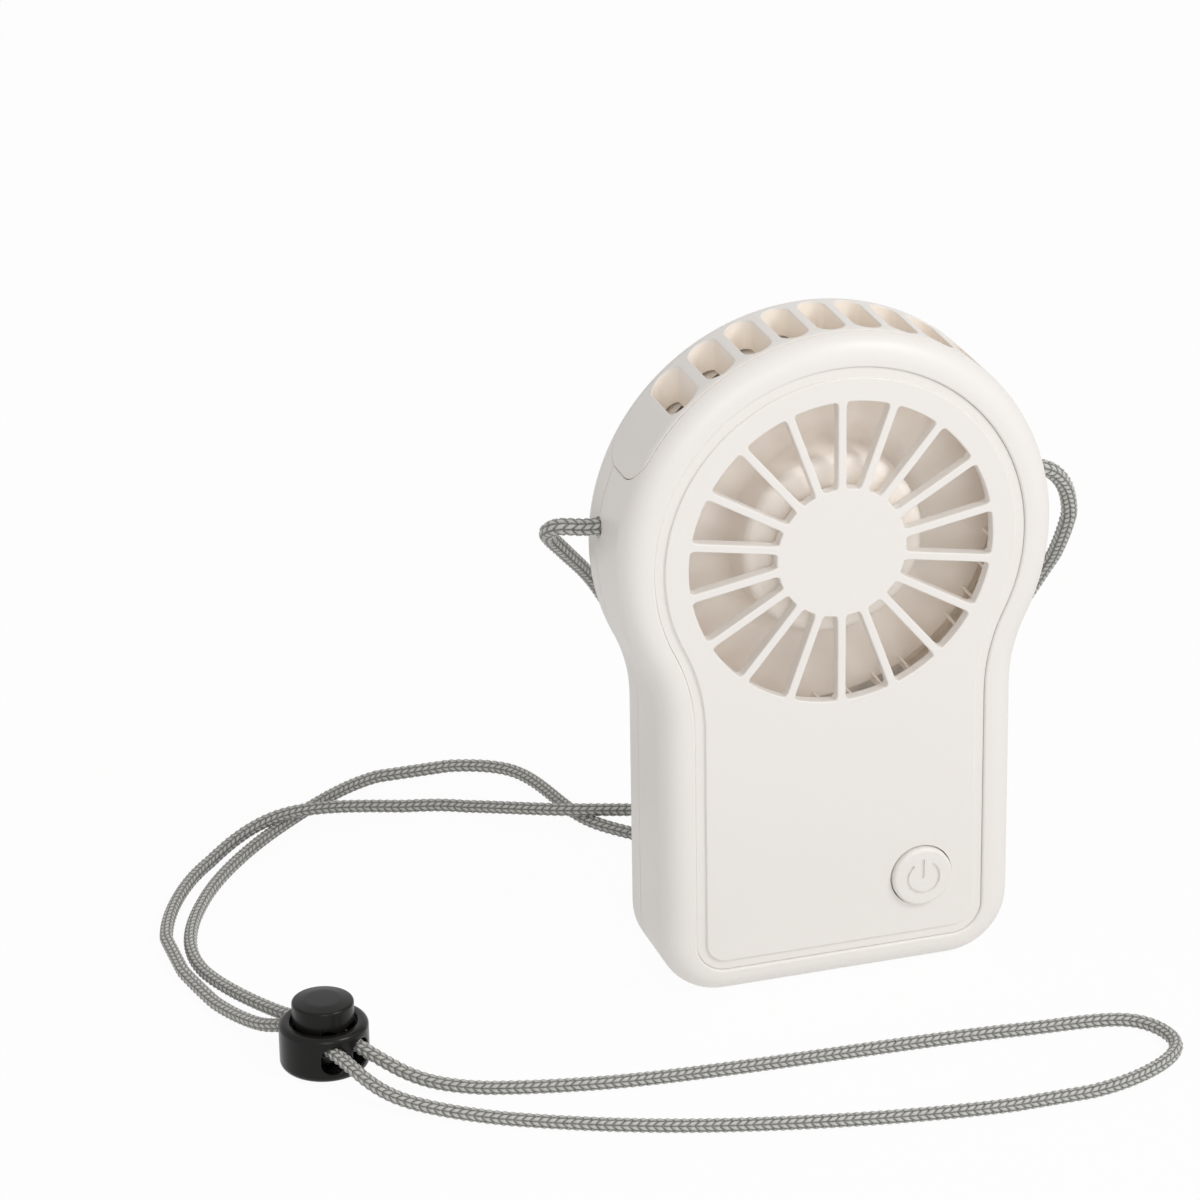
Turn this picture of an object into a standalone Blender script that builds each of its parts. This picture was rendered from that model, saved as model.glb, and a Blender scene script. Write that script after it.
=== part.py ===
"""Lanyard fan: a flat pocket blower that hangs on a neck cord.

Air enters the round grille in the front and leaves through nine slots over the head.
Frame: X to the right, Y from the front towards the back, Z up. The origin is on the floor,
in the middle of the box round the fan without its cord. Shapes are drawn as (x, depth, rise):
depth runs back from the front rim, and rise is measured up from the axle.
"""
import math

import bmesh
import bpy
from mathutils import Vector

for old in list(bpy.data.objects):
    bpy.data.objects.remove(old, do_unlink=True)

MM = 0.001

# Clearances that every seat shares
FIT = 0.3 * MM
SEAM = 0.25 * MM
OVERRUN = 3.0 * MM
WELD = 0.5 * MM

# Front panel and grille
PANEL_DEPTH = 2.3 * MM
PANEL_STEP = 0.5 * MM
PANEL_FLANGE = 1.2 * MM
PANEL_SLOPE = 0.25 * MM
GROOVE_WIDTH = 1.95 * MM
GRILLE_INSET = 6.2 * MM
GRILLE_DISC_RADIUS = 12.84 * MM
SPOKES = 18
SPOKE_WIDTH = 1.65 * MM
SPOKE_CORNER = 1.1 * MM

# Power button and its switch
BUTTON_RADIUS = 6.0 * MM
BUTTON_RISE = 1.2 * MM
BUTTON_ROUND = 0.7 * MM
BUTTON_FLANGE = 0.7 * MM
BUTTON_FLANGE_WIDTH = 1.2 * MM
BUTTON_X = 16.35 * MM
BUTTON_ABOVE_BASE = 19.4 * MM
BUTTON_TRAVEL = 0.5 * MM
SYMBOL_RADIUS = 3.2 * MM
SYMBOL_WIDTH = 0.6 * MM
SYMBOL_DEPTH = 0.25 * MM
SYMBOL_BAR = 3.0 * MM
STEM_RADIUS = 1.75 * MM
STEM_PROUD = 1.0 * MM
STEM_LENGTH = 2.4 * MM
SWITCH_SIDE = 6.2 * MM
SWITCH_HEIGHT = 2.5 * MM
BOARD_DEPTH = 1.2 * MM
BOARD_WIDTH = 38.0 * MM
BOARD_HEIGHT = 20.0 * MM
BOARD_OFFSET = 7.0 * MM
STAKE_RADIUS = 1.0 * MM
STAKE_INSET = 2.6 * MM
STAKE_HEAD = 0.7 * MM
CHIP_SIDE = 4.0 * MM
CHIP_HEIGHT = 1.2 * MM

# Cells, bay and door
CELL_RADIUS = 5.25 * MM
CELL_LENGTH = 44.5 * MM
CELL_NUB_RADIUS = 2.7 * MM
CELL_NUB_HEIGHT = 1.0 * MM
CELL_GAP = 1.1 * MM
CELLS = 3
CONTACT_SPACE = 4.45 * MM
BOARD_TO_BAY = 1.3 * MM
BAY_FLOOR = 1.0 * MM
CELL_TO_FLOOR = 0.35 * MM
CELL_TO_DOOR = 0.45 * MM
BAY_END_SPACE = 0.6 * MM
DOOR_DEPTH = 1.8 * MM
DOOR_SIDE_LEDGE = 1.3 * MM
DOOR_TOP_LEDGE = 1.6 * MM
DOOR_BOTTOM_LEDGE = 3.3 * MM
DOOR_TOP_CORNER = 2.5 * MM
DOOR_BOTTOM_CORNER = 5.5 * MM
BAY_RIM = 1.2 * MM
TAB_WIDTH = 7.0 * MM
TAB_SPREAD = 14.0 * MM
TAB_REACH = 2.2 * MM
TAB_DEPTH = 1.2 * MM
PIT_WIDTH = 11.5 * MM
PIT_HEIGHT = 3.0 * MM
PIT_DEPTH = 3.2 * MM
THUMB_WIDTH = 8.2 * MM
THUMB_HEIGHT = 7.6 * MM
LATCH_WIDTH = 6.4 * MM
LATCH_DEPTH = 1.1 * MM
LATCH_BAR = 1.3 * MM
LATCH_BAR_BACKSET = 0.5 * MM
POCKET_WALL = 1.1 * MM
CONTACT_PLATE = 0.4 * MM
CONTACT_SIDE = 8.4 * MM
CONTACT_WIRE = 0.28 * MM
CONTACT_COIL_WIDE = 3.1 * MM
CONTACT_COIL_NARROW = 1.7 * MM
CONTACT_TURNS = 2
DIMPLE_BASE = 2.4 * MM
DIMPLE_TIP = 1.4 * MM
SOLDER_TAB = 2.2 * MM
SOLDER_TAB_PROUD = 0.7 * MM

# Blower
MOTOR_RADIUS = 12.2 * MM
MOTOR_LENGTH = 12.3 * MM
MOTOR_CAP = 1.8 * MM
MOTOR_ROUND = 0.8 * MM
BEARING_RADIUS = 3.0 * MM
BEARING_HEIGHT = 0.8 * MM
SHAFT_RADIUS = 1.0 * MM
SHAFT_IN_MOTOR = 5.5 * MM
GRILLE_TO_DRUM = 1.8 * MM
DRUM_RADIUS = 18.3 * MM
DRUM_LENGTH = 11.8 * MM
DRUM_WALL = 1.5 * MM
DRUM_ROUND = 1.4 * MM
DISC_DEPTH = 1.2 * MM
HUB_RADIUS = 3.2 * MM
HUB_TO_MOTOR = 1.5 * MM
IMPELLER_RADIUS = 36.2 * MM
BLADES = 26
BLADE_LENGTH = 4.2 * MM
BLADE_THICKNESS = 0.8 * MM
BLADE_SET_BACK = 1.9 * MM
BLADE_SWEEP = math.radians(6.0)
SHROUD_WIDTH = 1.6 * MM
SHROUD_DEPTH = 0.8 * MM
IMPELLER_TO_VENT = 1.4 * MM
SCROLL_GAP = 1.8 * MM
SCROLL_WALL = 1.2 * MM
SCROLL_HALF_ANGLE = math.radians(63.0)
SOCKET_WALL = 1.2 * MM
SOCKET_TO_DISC = 0.9 * MM

# Vent band
VENT_DEPTH = 5.4 * MM
BAND_FROM_FRONT = 3.4 * MM
BAND_HALF_ANGLE = math.radians(66.5)
BAND_CORNER = 6.0 * MM
BAND_SKIN = 1.8 * MM
LEAST_BEND_SHARE = 0.04
MOST_BEND_SHARE = 0.2
VENTS = 9
VENT_PITCH = math.radians(11.25)
VENT_WIDTH = 6.0 * MM
VENT_END_WALL = 1.6 * MM
VENT_BLOCK_MARGIN = math.radians(6.2)
VENT_BLOCK_STEP = 0.5 * MM

# Housing
WALL = 1.8 * MM
FRONT_FILLET = 5.0 * MM
REAR_FILLET = 4.0 * MM
INNER_FILLET = 1.5 * MM
NECK_RADIUS = 30.0 * MM
BOTTOM_CORNER = 12.4 * MM
LEAST_CORNER = 1.0 * MM
PARTING = 15.5 * MM
RIM_WIDTH = 6.4 * MM
RIM_WIDTH_BELOW = 5.5 * MM
RIM_EDGE = 0.35 * MM
LEDGE_WIDTH = 2.6 * MM
LEDGE_DEPTH = 1.0 * MM
LIP_WALL = 0.9 * MM
LIP_REACH = 1.7 * MM
LIP_ROOT = 2.0 * MM
BAY_SIDE_MARGIN = 5.9 * MM
SILL = 4.7 * MM
LATCH_ROOM = 5.0 * MM
BOSS_HEIGHT = 4.5 * MM
BOSS_SKIN = 1.5 * MM
BOSS_TOP_RADIUS = 12.8 * MM
BOSS_BASE_RADIUS = 17.4 * MM
BOSS_BLEND = 1.4 * MM
CHANNEL_WIDTH = 5.4 * MM
CHANNEL_RISE = 2.2 * MM
CHANNEL_START = 14.0 * MM
CHANNEL_PAST_SCROLL = 1.4 * MM
CHANNEL_ANGLE = math.radians(251.5)
CHANNEL_ROUND = 0.8 * MM
CHANNEL_BORE = 3.0 * MM
CHANNEL_SKIN = 1.3 * MM
WIRE_RADIUS = 0.35 * MM
WIRE_STEPS = 16

# Cord, its holes and the lock on it
CORD_RADIUS = 1.1 * MM
CORD_HOLE_ABOVE_AXLE = 5.4 * MM
CORD_HOLE_GAP = 0.6 * MM
CORD_TUBE_STEPS = 76
BEND_LENGTH = 25.0 * MM
RELAX_STEP = 1.0 * MM
RELAX_PASSES = 4
KNOT_THICKNESS = 2.6 * MM
KNOT_RADIUS = 2.6 * MM
LOCK_X = -102.9 * MM
LOCK_Y = -14.4 * MM
LOCK_TURN = math.radians(-70.0)
LOCK_RADIUS = 8.45 * MM
LOCK_HEIGHT = 9.3 * MM
LOCK_FLOOR = 1.0 * MM
LOCK_WALL = 1.5 * MM
LOCK_ROUND = 1.6 * MM
LOCK_RIM = 0.5 * MM
LOCK_STRAND_OFFSET = 2.6 * MM
LOCK_HOLE_GAP = 0.75 * MM
LOCK_HOLE_BELOW = 1.9 * MM
LOCK_HOLE_ROUND_SHARE = 0.8
PLUNGER_PROUD = 4.5 * MM
PLUNGER_ROUND = 1.3 * MM
PLUNGER_RADIUS = 5.85 * MM
PLUNGER_TRAVEL = 1.6 * MM
PLUNGER_FOOT = 1.6 * MM
PLUNGER_POCKET = 0.9 * MM
PLUNGER_POCKET_RADIUS = 4.0 * MM
LOCK_SPRING_WIRE = 0.3 * MM
LOCK_SPRING_INNER = 1.5 * MM
LOCK_SPRING_OUTER = 3.2 * MM
LOCK_SPRING_TURNS = 2

# The cord's route in millimetres. It leaves the left hole, given from that hole's mouth
CORD_LEAVES = [
    (3.4, 0.0, 0.0), (-2.6, 0.0, 0.1), (-6.6, 1.35, 0.4), (-8.0, 4.15, -1.3), (-7.1, 7.65, -4.0),
    (-2.9, 11.6, -9.2),
]
# It drops behind the body, lies on the floor, and passes the lock on both sides of the front loop
CORD_LIES = [
    (-36.3, 22.5, 72.1), (-16.0, 40.0, 28.0), (-15.5, 52.0, 2.4),
    (-26.0, 66.0, 1.1), (-35.5, 96.0, 1.1), (-60.0, 101.3, 1.1), (-86.0, 84.8, 1.1),
    (-108.5, 58.0, 1.1), (-116.9, 32.0, 1.1), (-106.5, -0.8, 4.0), (-102.8, -7.0, 5.8),
    (-97.6, -21.3, 5.9), (-87.0, -31.7, 2.2), (-58.0, -40.9, 1.1), (22.0, -46.9, 1.1),
    (46.0, -51.3, 1.1), (49.0, -62.5, 1.1), (30.0, -73.3, 1.1), (-45.0, -62.2, 1.1),
    (-94.0, -37.0, 2.4), (-102.9, -22.0, 5.9), (-107.8, -8.7, 5.8), (-112.2, -2.0, 3.6),
    (-118.2, 17.0, 1.1), (-120.3, 42.0, 1.1), (-106.5, 70.5, 1.1), (-86.0, 84.9, 3.7),
    (-54.0, 83.6, 1.1), (-26.2, 66.3, 3.7), (4.0, 64.5, 1.1), (34.0, 50.0, 12.8),
    (48.3, 34.0, 42.0),
]
# It climbs to the right hole, given from that hole's mouth
CORD_RETURNS = [
    (10.7, 17.6, -30.2), (12.2, 9.15, -18.2), (11.0, 5.15, -10.6), (7.8, 1.75, -3.9),
    (3.4, 0.0, -0.2), (-3.4, 0.0, 0.0),
]

# Depths worked out from the stack between the front rim and the rear face
FLANGE_FRONT = PANEL_DEPTH + FIT
FLANGE_BACK = FLANGE_FRONT + BUTTON_FLANGE
STEM_FRONT = FLANGE_BACK + FIT
SWITCH_FRONT = STEM_FRONT + STEM_PROUD
SWITCH_BACK = SWITCH_FRONT + SWITCH_HEIGHT
BOARD_FRONT = SWITCH_BACK + FIT
BOARD_BACK = BOARD_FRONT + BOARD_DEPTH
BAY_FRONT = BOARD_BACK + BOARD_TO_BAY
BAY_INNER = BAY_FRONT + BAY_FLOOR
CELL_AXIS_DEPTH = BAY_INNER + CELL_TO_FLOOR + CELL_RADIUS
DOOR_FRONT = CELL_AXIS_DEPTH + CELL_RADIUS + CELL_TO_DOOR
BODY_DEPTH = DOOR_FRONT + DOOR_DEPTH
REAR_INNER = BODY_DEPTH - WALL
DRUM_FRONT = PANEL_DEPTH + GRILLE_TO_DRUM
DISC_FRONT = DRUM_FRONT + DRUM_LENGTH
DISC_BACK = DISC_FRONT + DISC_DEPTH
POCKET_END = BODY_DEPTH + BOSS_HEIGHT - BOSS_SKIN
MOTOR_BACK = POCKET_END - FIT
MOTOR_FRONT = MOTOR_BACK - MOTOR_LENGTH
LEDGE_FRONT = PANEL_STEP + PANEL_FLANGE + FIT
LEDGE_BACK = LEDGE_FRONT + LEDGE_DEPTH
PARTING_FRONT = PARTING - FIT / 2
PARTING_REAR = PARTING + FIT / 2
BAND_REAR = BODY_DEPTH - BAND_FROM_FRONT

# Radii and heights worked out the same way
VENT_INNER = IMPELLER_RADIUS + IMPELLER_TO_VENT
HEAD_RADIUS = VENT_INNER + VENT_DEPTH
SCROLL_RADIUS = IMPELLER_RADIUS + SCROLL_GAP
SCROLL_OUTER = SCROLL_RADIUS + SCROLL_WALL
BAY_HALF_WIDTH = CELL_LENGTH / 2 + CONTACT_SPACE
DOOR_HALF_WIDTH = BAY_HALF_WIDTH + DOOR_SIDE_LEDGE
BODY_HALF_WIDTH = DOOR_HALF_WIDTH + FIT + BAY_RIM + BAY_SIDE_MARGIN
CELL_PITCH = 2 * CELL_RADIUS + CELL_GAP
CELL_STACK = CELL_PITCH * (CELLS - 1) + 2 * CELL_RADIUS
DOOR_TOP = -(SCROLL_OUTER + LATCH_ROOM)
BAY_TOP = DOOR_TOP - DOOR_TOP_LEDGE
BAY_BOTTOM = BAY_TOP - 2 * BAY_END_SPACE - CELL_STACK
DOOR_BOTTOM = BAY_BOTTOM - DOOR_BOTTOM_LEDGE
BOTTOM = DOOR_BOTTOM - SILL
FIRST_CELL = BAY_TOP - BAY_END_SPACE - CELL_RADIUS
NECK_X = BODY_HALF_WIDTH + NECK_RADIUS
NECK_RISE = -math.sqrt(max((HEAD_RADIUS + NECK_RADIUS) ** 2 - NECK_X ** 2, 0))
RIM_DROP = RIM_WIDTH - RIM_WIDTH_BELOW
CORD_HOLE_RADIUS = CORD_RADIUS + CORD_HOLE_GAP
CHANNEL_END = SCROLL_OUTER + CHANNEL_PAST_SCROLL
HINGE_DEPTH = BODY_DEPTH
HINGE_RISE = DOOR_BOTTOM
EDGE_DEPTH = DOOR_FRONT + DOOR_DEPTH / 2
EDGE_RISE = DOOR_BOTTOM + DOOR_DEPTH / 2
GRILLE_RADIUS = IMPELLER_RADIUS - GRILLE_INSET
BUTTON_BELOW_AXLE = -BOTTOM - BUTTON_ABOVE_BASE

# The fan's own box decides where the origin lies
FRONT_Y = BUTTON_RISE - (BUTTON_RISE + BODY_DEPTH + BOSS_HEIGHT) / 2
AXLE_Z = -BOTTOM

# Steps that round shapes are divided into
HEAD_STEPS = 30
NECK_STEPS = 3
CORNER_STEPS = 4
FILLET_STEPS = 3
TURN_STEPS = 26
WHEEL_STEPS = 30
LOCK_STEPS = 20
SMALL_STEPS = 12
CURVE_STEPS = 16
COIL_STEPS = 9
COIL_SIDES = 5
ROUND_STEPS = 2
BLADE_STEPS = 1


def at(x, depth, rise):
    """The world place of a point given by its depth behind the rim and its rise over the axle."""
    return Vector((x, FRONT_Y + depth, AXLE_Z + rise))


def material(name, colour, roughness, metallic=0.0):
    """A Principled material, made once for each name."""
    found = bpy.data.materials.get(name)
    if found:
        return found
    made = bpy.data.materials.new(name)
    made.use_nodes = True
    shader = made.node_tree.nodes["Principled BSDF"]
    shader.inputs["Base Color"].default_value = (*colour, 1.0)
    shader.inputs["Roughness"].default_value = roughness
    shader.inputs["Metallic"].default_value = metallic
    made.diffuse_color = (*colour, 1.0)
    return made


def white():
    return material("white_plastic", (0.86, 0.84, 0.82), 0.42)


def black():
    return material("black_plastic", (0.012, 0.012, 0.013), 0.34)


def steel():
    return material("bright_steel", (0.62, 0.62, 0.61), 0.25, 1.0)


def make(name, bm, finish, origin=None):
    """Turn a bmesh in world places into a named object whose origin is the one given."""
    bmesh.ops.recalc_face_normals(bm, faces=bm.faces)
    origin = origin or Vector((0, 0, 0))
    bmesh.ops.translate(bm, verts=bm.verts, vec=-origin)
    mesh = bpy.data.meshes.new(name)
    bm.to_mesh(mesh)
    bm.free()
    mesh.shade_smooth()
    mesh.set_sharp_from_angle(angle=math.radians(35))
    body = bpy.data.objects.new(name, mesh)
    body.location = origin
    body.data.materials.append(finish)
    bpy.context.collection.objects.link(body)
    return body


def combine(body, tool, operation):
    """Cut the tool from the body, or join it, and remove the tool."""
    bpy.context.view_layer.objects.active = body
    step = body.modifiers.new(operation.lower(), "BOOLEAN")
    step.operation = operation
    step.solver = "EXACT"
    step.object = tool
    bpy.ops.object.modifier_apply(modifier=step.name)
    bpy.data.objects.remove(tool, do_unlink=True)
    body.data.shade_smooth()
    body.data.set_sharp_from_angle(angle=math.radians(35))
    return body


def cut(body, *tools):
    for tool in tools:
        combine(body, tool, "DIFFERENCE")
    return body


def fuse(body, *tools):
    for tool in tools:
        combine(body, tool, "UNION")
    return body


def loft(loops, closed=False):
    """Join loops of the same length: capped at both ends, or closed on itself as a ring."""
    bm = bmesh.new()
    rows = [[bm.verts.new(point) for point in loop] for loop in loops]
    count = len(rows[0])
    pairs = list(zip(rows, rows[1:]))
    if closed:
        pairs.append((rows[-1], rows[0]))
    for low, high in pairs:
        for i in range(count):
            j = (i + 1) % count
            bm.faces.new((low[i], low[j], high[j], high[i]))
    if not closed:
        bm.faces.new(rows[0])
        bm.faces.new(rows[-1])
    return bm


def revolve(profile, steps, place, phase=0.0):
    """Turn (radius, distance) points round an axis; place gives the world point of each.

    A profile that starts or ends on the axis is closed there with a flat face.
    """
    rim = [point for point in profile if point[0] > 0]
    bm = bmesh.new()
    columns = []
    for k in range(steps):
        turn = 2 * math.pi * (k + phase) / steps
        columns.append([bm.verts.new(place(radius * math.cos(turn), radius * math.sin(turn), along))
                        for radius, along in rim])
    closed = len(rim) == len(profile)
    spans = len(rim) if closed else len(rim) - 1
    for k in range(steps):
        here = columns[k]
        there = columns[(k + 1) % steps]
        for i in range(spans):
            j = (i + 1) % len(rim)
            bm.faces.new((here[i], here[j], there[j], there[i]))
    if not closed:
        bm.faces.new([column[0] for column in columns])
        bm.faces.new([column[-1] for column in columns])
    return bm


def along_depth(x=0.0, rise=0.0):
    """Placing for a turned shape whose axis runs from front to back."""
    return lambda a, b, depth: at(x + a, depth, rise + b)


def along_x(depth, rise):
    """Placing for a turned shape whose axis runs to the right."""
    return lambda a, b, x: at(x, depth + a, rise + b)


def in_lock(a, b, height):
    """Placing for the shapes of the cord lock: a runs across its holes, b along them."""
    x = LOCK_X - a * math.sin(LOCK_TURN) + b * math.cos(LOCK_TURN)
    y = LOCK_Y + a * math.cos(LOCK_TURN) + b * math.sin(LOCK_TURN)
    return Vector((x, y, height))


def prism(outline, near, far):
    """An (x, rise) outline stretched between two depths."""
    return loft([[at(x, near, rise) for x, rise in outline], [at(x, far, rise) for x, rise in outline]])


def box(low, high, place=at):
    """A block between two corners, each given as the three values that place takes."""
    floor = [(low[0], low[2]), (high[0], low[2]), (high[0], high[2]), (low[0], high[2])]
    near = [place(x, low[1], rise) for x, rise in floor]
    far = [place(x, high[1], rise) for x, rise in floor]
    return loft([near, far])


def arc(x, rise, radius, start, end, steps):
    """Points of an arc from one angle to another, both ends included."""
    turns = [start + (end - start) * i / steps for i in range(steps + 1)]
    return [(x + radius * math.cos(turn), rise + radius * math.sin(turn)) for turn in turns]


def rounded_rectangle(left, right, low, high, low_corner, high_corner, steps=CORNER_STEPS):
    """A rectangle whose lower corners share one radius and whose upper corners share another."""
    half = math.pi / 2
    points = arc(right - high_corner, high - high_corner, high_corner, 0, half, steps)
    points += arc(left + high_corner, high - high_corner, high_corner, half, 2 * half, steps)
    points += arc(left + low_corner, low + low_corner, low_corner, 2 * half, 3 * half, steps)
    points += arc(right - low_corner, low + low_corner, low_corner, 3 * half, 4 * half, steps)
    return points


def silhouette(inset=0.0, drop=0.0):
    """The fan's outline moved inwards: round head, hollow neck, straight sides, round corners.

    drop lowers the bottom edge only, for the rim, which is narrower there.
    """
    head = HEAD_RADIUS - inset
    hollow = NECK_RADIUS + inset
    corner = max(BOTTOM_CORNER - inset, LEAST_CORNER)
    side = BODY_HALF_WIDTH - inset - corner
    low = BOTTOM + inset - drop + corner
    touch = math.atan2(NECK_RISE, NECK_X)
    points = arc(0, 0, head, touch, math.pi - touch, HEAD_STEPS)
    points += arc(-NECK_X, NECK_RISE, hollow, -touch, 0, NECK_STEPS)[1:]
    points += arc(-side, low, corner, math.pi, 1.5 * math.pi, CORNER_STEPS)
    points += arc(side, low, corner, 1.5 * math.pi, 2 * math.pi, CORNER_STEPS)
    points += arc(NECK_X, NECK_RISE, hollow, math.pi, math.pi + touch, NECK_STEPS)[:-1]
    return points


def ring(inset, depth, drop=0.0):
    return [at(x, depth, rise) for x, rise in silhouette(inset, drop)]


def quarter(radius, steps=FILLET_STEPS):
    """(inset, step back) pairs of a quarter round, from the side to the face."""
    turns = [math.pi / 2 * i / steps for i in range(steps + 1)]
    return [(radius * (1 - math.cos(turn)), radius * (1 - math.sin(turn))) for turn in turns]


def face_inset(depth):
    """How far the rounded edges pull the side of the housing in at a depth."""
    from_front = max(FRONT_FILLET - depth, 0)
    from_rear = max(depth - (BODY_DEPTH - REAR_FILLET), 0)
    pulled = FRONT_FILLET - math.sqrt(FRONT_FILLET ** 2 - min(from_front, FRONT_FILLET) ** 2)
    pulled += REAR_FILLET - math.sqrt(REAR_FILLET ** 2 - min(from_rear, REAR_FILLET) ** 2)
    return pulled


def band_stations(grow):
    """Angles along the vent band with the front and rear limits that its round ends leave."""
    corner = BAND_CORNER + grow
    half = BAND_HALF_ANGLE + grow / HEAD_RADIUS
    near = BAND_FROM_FRONT - grow
    far = BAND_REAR + grow
    ends = []
    for i in range(CORNER_STEPS + 1):
        turn = math.pi / 2 * i / CORNER_STEPS
        ends.append((corner * (1 - math.cos(turn)) / HEAD_RADIUS, corner * (1 - math.sin(turn))))
    stations = [(half - angle, near + pulled, far - pulled) for angle, pulled in ends]
    inner = half - corner / HEAD_RADIUS
    steps = HEAD_STEPS // 2
    stations += [(inner - 2 * inner * i / steps, near, far) for i in range(1, steps)]
    stations += [(angle - half, near + pulled, far - pulled) for angle, pulled in reversed(ends)]
    return [(math.pi / 2 + angle, front, rear) for angle, front, rear in stations]


def polar(radius, angle, depth):
    return at(radius * math.cos(angle), depth, radius * math.sin(angle))


def band_skin():
    """The curved strip, whose outer side continues the housing's rounded edges."""
    loops = []
    for angle, front, rear in band_stations(0.0):
        span = rear - front
        bend = min(max(FRONT_FILLET - front, span * LEAST_BEND_SHARE), span * MOST_BEND_SHARE)
        depths = [front, front + bend / 2, front + bend, front + span / 2, rear - bend / 2, rear]
        outer = [polar(HEAD_RADIUS - face_inset(depth), angle, depth) for depth in depths]
        inner = [polar(HEAD_RADIUS - BAND_SKIN - face_inset(depth), angle, depth)
                 for depth in reversed(depths)]
        loops.append(outer + inner)
    return loft(loops)


def band_notch():
    """What the shells give up to the vent band and its clearance."""
    loops = []
    for angle, front, rear in band_stations(SEAM):
        shape = [(VENT_INNER - FIT, front), (HEAD_RADIUS + OVERRUN, front)]
        shape += [(HEAD_RADIUS + OVERRUN, rear), (VENT_INNER - FIT, rear)]
        loops.append([polar(radius, angle, depth) for radius, depth in shape])
    return make("notch", loft(loops), white())


def sector(inner, outer, start, end, near, far, steps):
    """A curved block between two radii, two angles and two depths."""
    loops = []
    for i in range(steps + 1):
        angle = start + (end - start) * i / steps
        corners = [(inner, near), (outer, near), (outer, far), (inner, far)]
        loops.append([polar(radius, angle, depth) for radius, depth in corners])
    return loft(loops)


def vent_slot(angle):
    """A pill shape driven inwards through the band at one angle."""
    near = BAND_FROM_FRONT + VENT_END_WALL
    far = BAND_REAR - VENT_END_WALL
    half = VENT_WIDTH / 2
    pill = arc(far - half, 0, half, -math.pi / 2, math.pi / 2, 2 * ROUND_STEPS)
    pill += arc(near + half, 0, half, math.pi / 2, 1.5 * math.pi, 2 * ROUND_STEPS)
    loops = []
    for radius in (VENT_INNER - OVERRUN, HEAD_RADIUS + OVERRUN):
        loop = []
        for depth, across in pill:
            x = radius * math.cos(angle) - across * math.sin(angle)
            rise = radius * math.sin(angle) + across * math.cos(angle)
            loop.append(at(x, depth, rise))
        loops.append(loop)
    return make("slot", loft(loops), white())


def cord_hole(side):
    profile = [(0, VENT_INNER), (CORD_HOLE_RADIUS, VENT_INNER)]
    profile += [(CORD_HOLE_RADIUS, HEAD_RADIUS + OVERRUN), (0, HEAD_RADIUS + OVERRUN)]
    place = along_x(PARTING, CORD_HOLE_ABOVE_AXLE)
    return make("cord_hole", revolve(profile, SMALL_STEPS, lambda a, b, x: place(a, b, side * x)), white())


def build_front_shell():
    """The deep half: outer wall, rounded front edge, rim and the ledge that the panel sits on."""
    loops = [ring(0.0, PARTING_FRONT)]
    loops += [ring(inset, depth) for inset, depth in quarter(FRONT_FILLET)]
    loops.append(ring(RIM_WIDTH - RIM_EDGE, 0.0, RIM_DROP))
    loops.append(ring(RIM_WIDTH, RIM_EDGE, RIM_DROP))
    loops.append(ring(RIM_WIDTH, LEDGE_FRONT, RIM_DROP))
    loops.append(ring(RIM_WIDTH + LEDGE_WIDTH, LEDGE_FRONT, RIM_DROP))
    loops.append(ring(RIM_WIDTH + LEDGE_WIDTH, LEDGE_BACK, RIM_DROP))
    loops.append(ring(WALL + INNER_FILLET, LEDGE_BACK))
    loops.append(ring(WALL, LEDGE_BACK + INNER_FILLET))
    loops.append(ring(WALL, PARTING_FRONT))
    shell = make("front_shell", loft(loops, closed=True), white())
    return cut(shell, band_notch(), cord_hole(-1), cord_hole(1))


def grille_opening(middle):
    """One opening between two straight spokes, with its four corners rounded."""
    half = SPOKE_WIDTH / 2
    pitch = 2 * math.pi / SPOKES

    def corner(radius, side):
        spoke = middle + side * pitch / 2
        reach = math.sqrt(radius ** 2 - half ** 2)
        x = reach * math.cos(spoke) + side * half * math.sin(spoke)
        rise = reach * math.sin(spoke) - side * half * math.cos(spoke)
        return Vector((x, rise)), Vector((math.cos(spoke), math.sin(spoke)))

    def rounded(radius, side, inwards):
        tip, outward = corner(radius, side)
        around = Vector((-tip.y, tip.x)).normalized() * -side
        first = tip - outward * SPOKE_CORNER * inwards
        last = (tip + around * SPOKE_CORNER).normalized() * radius
        points = []
        for i in range(ROUND_STEPS + 1):
            share = i / ROUND_STEPS
            points.append(first * (1 - share) ** 2 + tip * 2 * share * (1 - share) + last * share ** 2)
        return points

    def sweep(start, end, radius):
        low = math.atan2(start.y, start.x)
        high = math.atan2(end.y, end.x)
        high += 2 * math.pi * round((low - high) / (2 * math.pi))
        steps = ROUND_STEPS + 1
        return [Vector(point) for point in arc(0, 0, radius, low, high, steps)[1:-1]]

    outer_left = rounded(GRILLE_RADIUS, 1, 1)
    outer_right = list(reversed(rounded(GRILLE_RADIUS, -1, 1)))
    inner_right = rounded(GRILLE_DISC_RADIUS, -1, -1)
    inner_left = list(reversed(rounded(GRILLE_DISC_RADIUS, 1, -1)))
    points = outer_left + sweep(outer_left[-1], outer_right[0], GRILLE_RADIUS) + outer_right
    points += inner_right + inner_left
    return make("opening", prism(points, -OVERRUN, PANEL_DEPTH + OVERRUN), white())


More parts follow.
